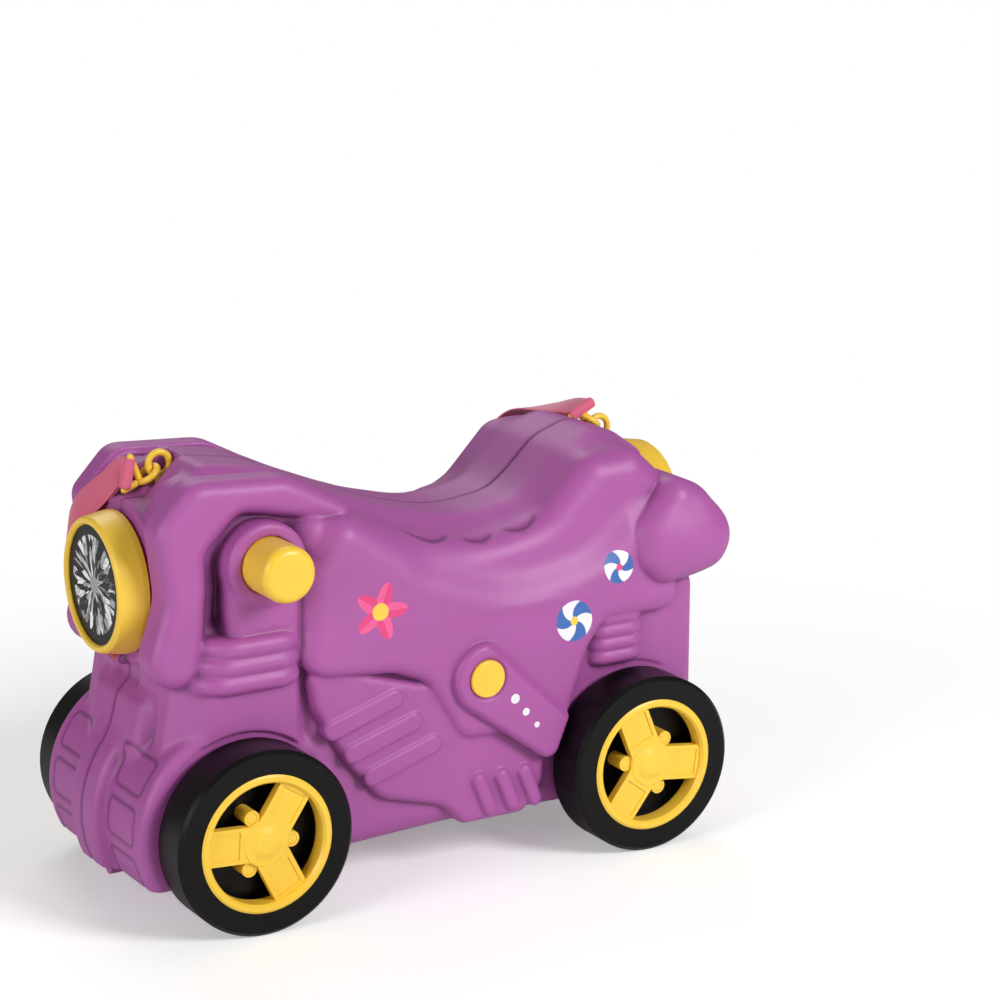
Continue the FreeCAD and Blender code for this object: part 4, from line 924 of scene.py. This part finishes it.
def mesh_piece(name, points, faces, body, material, normals=None, painted_shade=None, flat_map=None):
    """New piece from points in millimetres and quads, riding on a body, with normals, painted shade or a UV
    map given for each point."""
    mesh = bpy.data.meshes.new(name)
    mesh.vertices.add(len(points))
    mesh.vertices.foreach_set("co", (np.asarray(points) * MM).astype(np.float32).ravel())
    mesh.loops.add(faces.size)
    mesh.loops.foreach_set("vertex_index", faces.ravel().astype(np.int32))
    mesh.polygons.add(len(faces))
    mesh.polygons.foreach_set("loop_start", np.arange(0, faces.size, 4, dtype=np.int32))
    mesh.update(calc_edges=True)
    mesh.shade_smooth()
    if flat_map is not None:
        layer = mesh.uv_layers.new(name="metres")
        layer.data.foreach_set("uv", flat_map[faces.ravel()].astype(np.float32).ravel())
    if normals is not None:
        mesh.normals_split_custom_set_from_vertices(normals)
    if painted_shade is not None:
        # Painted shade of grooves and inner corners, kept on each point for the material
        mesh.attributes.new("painted_shade", "FLOAT", "POINT").data.foreach_set("value", painted_shade.astype(np.float32))
    mesh.materials.append(material)
    piece = new_object(name, mesh)
    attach(piece, body)
    return piece


def creases(field, reach):
    """Mask of painted shade in the inner corners: the share of solid in a box round each point, by running
    sums along the three axes, past the half that it has on a flat face."""
    share = (field < 0).astype(np.float32)
    for axis in range(3):
        ends = [(reach + 1, reach) if i == axis else (0, 0) for i in range(3)]
        total = np.moveaxis(np.cumsum(np.pad(share, ends, mode="edge"), axis, dtype=np.float64), axis, 0)
        share = np.moveaxis((total[2 * reach + 1:] - total[:-2 * reach - 1]) / (2 * reach + 1), 0, axis)
    return np.clip((share - 0.55) / 0.22, 0, 1)


def skin_pieces(side, space, field, painted_shade, body):
    """Front and rear piece of one half's skin; the right half is the mirror image of the left."""
    points, normals, quads = skin_surface(space, field, PARTING[side])
    sink_and_shade = sampled(space, painted_shade, points)
    if side == "right":
        points = points * (1.0, -1.0, 1.0)
        normals = normals * (1.0, -1.0, 1.0)
        quads = quads[:, ::-1]
    front = points[quads, 0].mean(1) < 0
    for end, chosen in (("front", front), ("rear", ~front)):
        kept, faces = np.unique(quads[chosen], return_inverse=True)
        mesh_piece(f"{side}_skin_{end}", points[kept], faces.reshape(-1, 4), body, SHELL, normals[kept],
                   sink_and_shade[kept])


# Shade of the inner corners: reach in grid steps and strength
CREASE_SHADES = [(5, 1.0), (13, 0.8)]
space = whole_space(CELL)
left_field, painted_shade = moulded_half(space)
for reach, strength in CREASE_SHADES:
    painted_shade = np.maximum(painted_shade, strength * creases(left_field, reach))
skin_pieces("left", space, left_field, painted_shade, "left_half")
skin_pieces("right", space, with_wells(space, left_field), painted_shade, "right_half")


def band(name, path, across, width, thickness, body, material):
    """Flat band along a path: a section whose sides are powers of cosine and sine, a flattened oval, is set
    square to it, with closed ends and a UV map in metres of the distances across and along it. Gives the
    piece and its length in metres."""
    around = 16
    turn = (np.arange(around) + 0.5) * 2 * np.pi / around
    side = np.sign(np.cos(turn)) * np.abs(np.cos(turn)) ** 0.3
    rise = np.sign(np.sin(turn)) * np.abs(np.sin(turn)) ** 0.6
    out = unit(np.cross(np.gradient(path, axis=0), across))
    reach = side[None, :] * width[:, None] / 2
    spread = across[:, None] * reach[..., None]
    raised = out[:, None] * (rise * thickness / 2)[None, :, None]
    points = path[:, None] + spread + raised
    number = np.arange(points.shape[0] * around).reshape(-1, around)
    turned = np.roll(number, -1, 1)
    sides = np.stack([number[:-1], turned[:-1], turned[1:], number[1:]], -1).reshape(-1, 4)
    step = np.arange(around // 2 - 1)
    cap = np.stack([step, step + 1, around - 2 - step, around - 1 - step], -1)
    faces = np.concatenate([sides, number[0][cap][:, ::-1], number[-1][cap]])
    along = run_along(path)
    flat_map = np.stack([reach, np.broadcast_to(along[:, None], reach.shape)], -1).reshape(-1, 2) * MM
    piece = mesh_piece(name, points.reshape(-1, 3), faces, body, material, flat_map=flat_map)
    return piece, along[-1] * MM


def cubic_through(knots, values, at):
    """Natural cubic curve through values at knots: its second derivatives come from one set of linear
    equations."""
    gap = np.diff(knots)
    count = len(knots)
    system = np.eye(count)
    right = np.zeros((count, values.shape[1]))
    inner = np.arange(1, count - 1)
    system[inner, inner - 1] = gap[:-1]
    system[inner, inner] = 2 * (gap[:-1] + gap[1:])
    system[inner, inner + 1] = gap[1:]
    rate = np.diff(values, axis=0) / gap[:, None]
    right[inner] = 6 * (rate[1:] - rate[:-1])
    bend = np.linalg.solve(system, right)
    i = np.clip(np.searchsorted(knots, at) - 1, 0, count - 2)
    width = gap[i][:, None]
    a = (knots[i + 1] - at)[:, None]
    b = (at - knots[i])[:, None]
    curve = (bend[i] * a ** 3 + bend[i + 1] * b ** 3) / (6 * width)
    before = (values[i] / width - bend[i] * width / 6) * a
    after = (values[i + 1] / width - bend[i + 1] * width / 6) * b
    return curve + before + after


# Strap: steps across a hook's bar, and points from the front bar to the rear one, each with the way its
# outer face looks
STRAP_WIDTH = 26.0
STRAP_THICKNESS = 1.6
BAR_LOOP = 3.5
SEWN = 27.0
BAR_STEPS = [11.0, 13.9, 17.9]
SIDEWAYS = (0, 1, 0)
STRAP_ROUTE = [
    *[(FRONT - 36.5, y, 297, (-1, 0, 0.22)) for y in BAR_STEPS],
    (FRONT - 45, 29, 285, (-1, 0, 0.25)), (FRONT - 56, 49, 265, (-1, 0.2, 0.2)),
    (FRONT - 56, 68, 243, (-0.9, 0.5, 0.1)), (FRONT - 40, 85, 223, (-0.4, 1, 0)),
    (FRONT - 6, 94, 205, SIDEWAYS), (-108, 98, 192, SIDEWAYS), (-52, 101, 176, SIDEWAYS),
    (6, 103, 168, SIDEWAYS), (58, 103, 168, SIDEWAYS), (104, 101, 182, SIDEWAYS),
    (REAR - 20, 100, 206, SIDEWAYS), (REAR - 7, 99, 238, SIDEWAYS), (REAR - 2, 93, 264, (0, 1, 0.3)),
    (REAR + 6, 76, 286, (0, 0.8, 0.8)), (REAR + 15, 46, 295, (-0.2, 0.3, 1)),
    *[(REAR + 19, y, 300, (-0.45, 0, 0.9)) for y in reversed(BAR_STEPS)],
]


def strap_line():
    """Path, across directions and widths of the strap: round the front bar, along the route, and round the
    rear bar, with each end laid back on the strap and sewn to it."""
    route = np.array([point[:3] for point in STRAP_ROUTE], float)
    looks = unit(np.array([point[3] for point in STRAP_ROUTE], float))
    knots = run_along(route)
    length = knots[-1]
    tail = np.linspace(SEWN, 0, 16)
    main = np.linspace(0, length, 190)
    turn = np.linspace(0, np.pi, 11)[1:-1]
    past = BAR_LOOP * np.sin(turn)
    at = np.concatenate([tail, -past, main, length + past, length - tail[::-1]])
    from_bar = np.minimum(main, length - main)
    lay = 0.55 * STRAP_THICKNESS

    def lift(distance):
        """Height of the strap's middle over its route: wide at the bar and close where it is sewn."""
        return lay + (BAR_LOOP - lay) * np.clip(1 - distance / 10, 0, 1) ** 2

    round_bar = BAR_LOOP * np.cos(turn)
    over = np.concatenate([-lift(tail), -round_bar, lift(from_bar), round_bar, -lift(tail[::-1])])
    held = np.clip(at, 0, length)
    middle = cubic_through(knots, route, held)
    before = cubic_through(knots, route, np.maximum(held - 0.5, 0))
    after = cubic_through(knots, route, np.minimum(held + 0.5, length))
    ahead = unit(after - before)
    look = np.stack([np.interp(held, knots, looks[:, i]) for i in range(3)], -1)
    across = unit(np.cross(ahead, look))
    look = np.cross(across, ahead)
    path = middle + ahead * (at - held)[:, None] + look * over[:, None]
    near = np.minimum(held, length - held)
    width = STRAP_WIDTH - 5 * np.clip(1 - (near - 8) / 24, 0, 1)
    return path, across, width


strap, strap_length = band("strap_webbing", *strap_line(), STRAP_THICKNESS, "right_half", PINK)
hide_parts("strap")

# Crossed elastics by name, their two studs in the side view and their distance from the parting plane
ELASTIC_WIDTH = 16.0
ELASTIC_THICKNESS = 1.2
ELASTIC_PAST = 8.0
ELASTICS = [
    ("elastic_rising", (-84, 48), (118, 250), 9.6), ("elastic_falling", (-62, 258), (112, 48), 11.4),
]


def elastic_line(first, last, y):
    """Path, across directions and widths of an elastic: a straight run past both studs, narrower there."""
    share = np.linspace(0, 1, 60)
    start = np.array((first[0], y, first[1]), float)
    span = np.array((last[0], y, last[1]), float) - start
    ahead = unit(span)
    path = start - ELASTIC_PAST * ahead + share[:, None] * (span + 2 * ELASTIC_PAST * ahead)
    across = np.broadcast_to(np.cross(ahead, SIDEWAYS), path.shape)
    width = ELASTIC_WIDTH - 3 * np.clip(np.abs(share - 0.5) * 2 - 0.94, 0, 1) / 0.06
    return path, across, width


for name, first, last, y in ELASTICS:
    line = elastic_line(first, last, y)
    elastic, length = band(name + "_band", *line, ELASTIC_THICKNESS, "right_half", ELASTIC)
    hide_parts(name)


# Floor, light and camera
FLOOR_HALF = 30.0


def floor_material():
    """Pale floor that keeps the soft shadow near the case and shows plain white away from it."""
    material, tree, shader, coordinates = start_material(
        "pale_floor", Roughness=0.9, Specular_IOR_Level=0.0, Emission_Color=(1, 1, 1, 1))
    vector = coordinates["Object"]
    seen = add(tree, "LightPath", {})["Is Camera Ray"]
    fade = times(tree, ramp(tree, length_of(tree, vector), 0.38, 0.8), seen)
    near = mixed(tree, noise(tree, vector, 3.0), (0.91, 0.91, 0.91, 1), (0.94, 0.94, 0.94, 1))
    fill(tree, shader, {
        "Base Color": mixed(tree, fade, near, (0, 0, 0, 1)),
        "Emission Strength": times(tree, ramp(tree, fade, 0.0, 1.0, 0.3, 1.0), seen),
    })
    return material


floor_mesh = bpy.data.meshes.new("floor")
floor_corners = [(x, y, 0) for x in (-FLOOR_HALF, FLOOR_HALF) for y in (-FLOOR_HALF, FLOOR_HALF)]
floor_mesh.from_pydata(floor_corners, [], [(0, 2, 3, 1)])
floor_mesh.materials.append(floor_material())
new_object("floor", floor_mesh)


def aim(thing, place, target):
    """Put a lamp or camera at a place and turn it to a target."""
    thing.location = place
    thing.rotation_euler = (Vector(target) - Vector(place)).to_track_quat("-Z", "Y").to_euler()


def soft_light(name, place, target, size, power):
    """Square area lamp that looks at a point."""
    lamp = bpy.data.lights.new(name, "AREA")
    lamp.size = size
    lamp.energy = power
    aim(new_object(name, lamp), place, target)


soft_light("key_light", (1.0, -2.1, 1.4), (0, 0, 0.15), 0.9, 50)
soft_light("fill_light", (-2.3, -0.7, 1.0), (0, 0, 0.12), 1.2, 26)
soft_light("back_light", (0.4, 1.8, 1.9), (0, 0, 0.2), 1.4, 16)
world = bpy.data.worlds.new("studio")
scene.world = world
world.use_nodes = True
sky = world.node_tree
rays = add(sky, "LightPath", {})
seen = math_node(sky, "MAXIMUM", rays["Is Camera Ray"], rays["Is Transmission Ray"])
glow = ramp(sky, seen, 0.0, 1.0, 0.17, 1.0)
fill(sky, sky.nodes["Background"], {"Color": (1, 1, 1, 1), "Strength": glow})

CAMERA_PLACE = (-0.9926, -1.7821, 0.7733)
CAMERA_TARGET = (0.0264, -0.1172, 0.278)
CAMERA_ROLL = math.radians(0.13)
CAMERA_LENS = 106.85
SENSOR_WIDTH = 36.0
camera_data = bpy.data.cameras.new("camera")
camera_data.lens = CAMERA_LENS
camera_data.sensor_width = SENSOR_WIDTH
camera = new_object("camera", camera_data)
aim(camera, CAMERA_PLACE, CAMERA_TARGET)
camera.rotation_euler.rotate_axis("Z", CAMERA_ROLL)
scene.camera = camera
scene.view_settings.view_transform = "Standard"
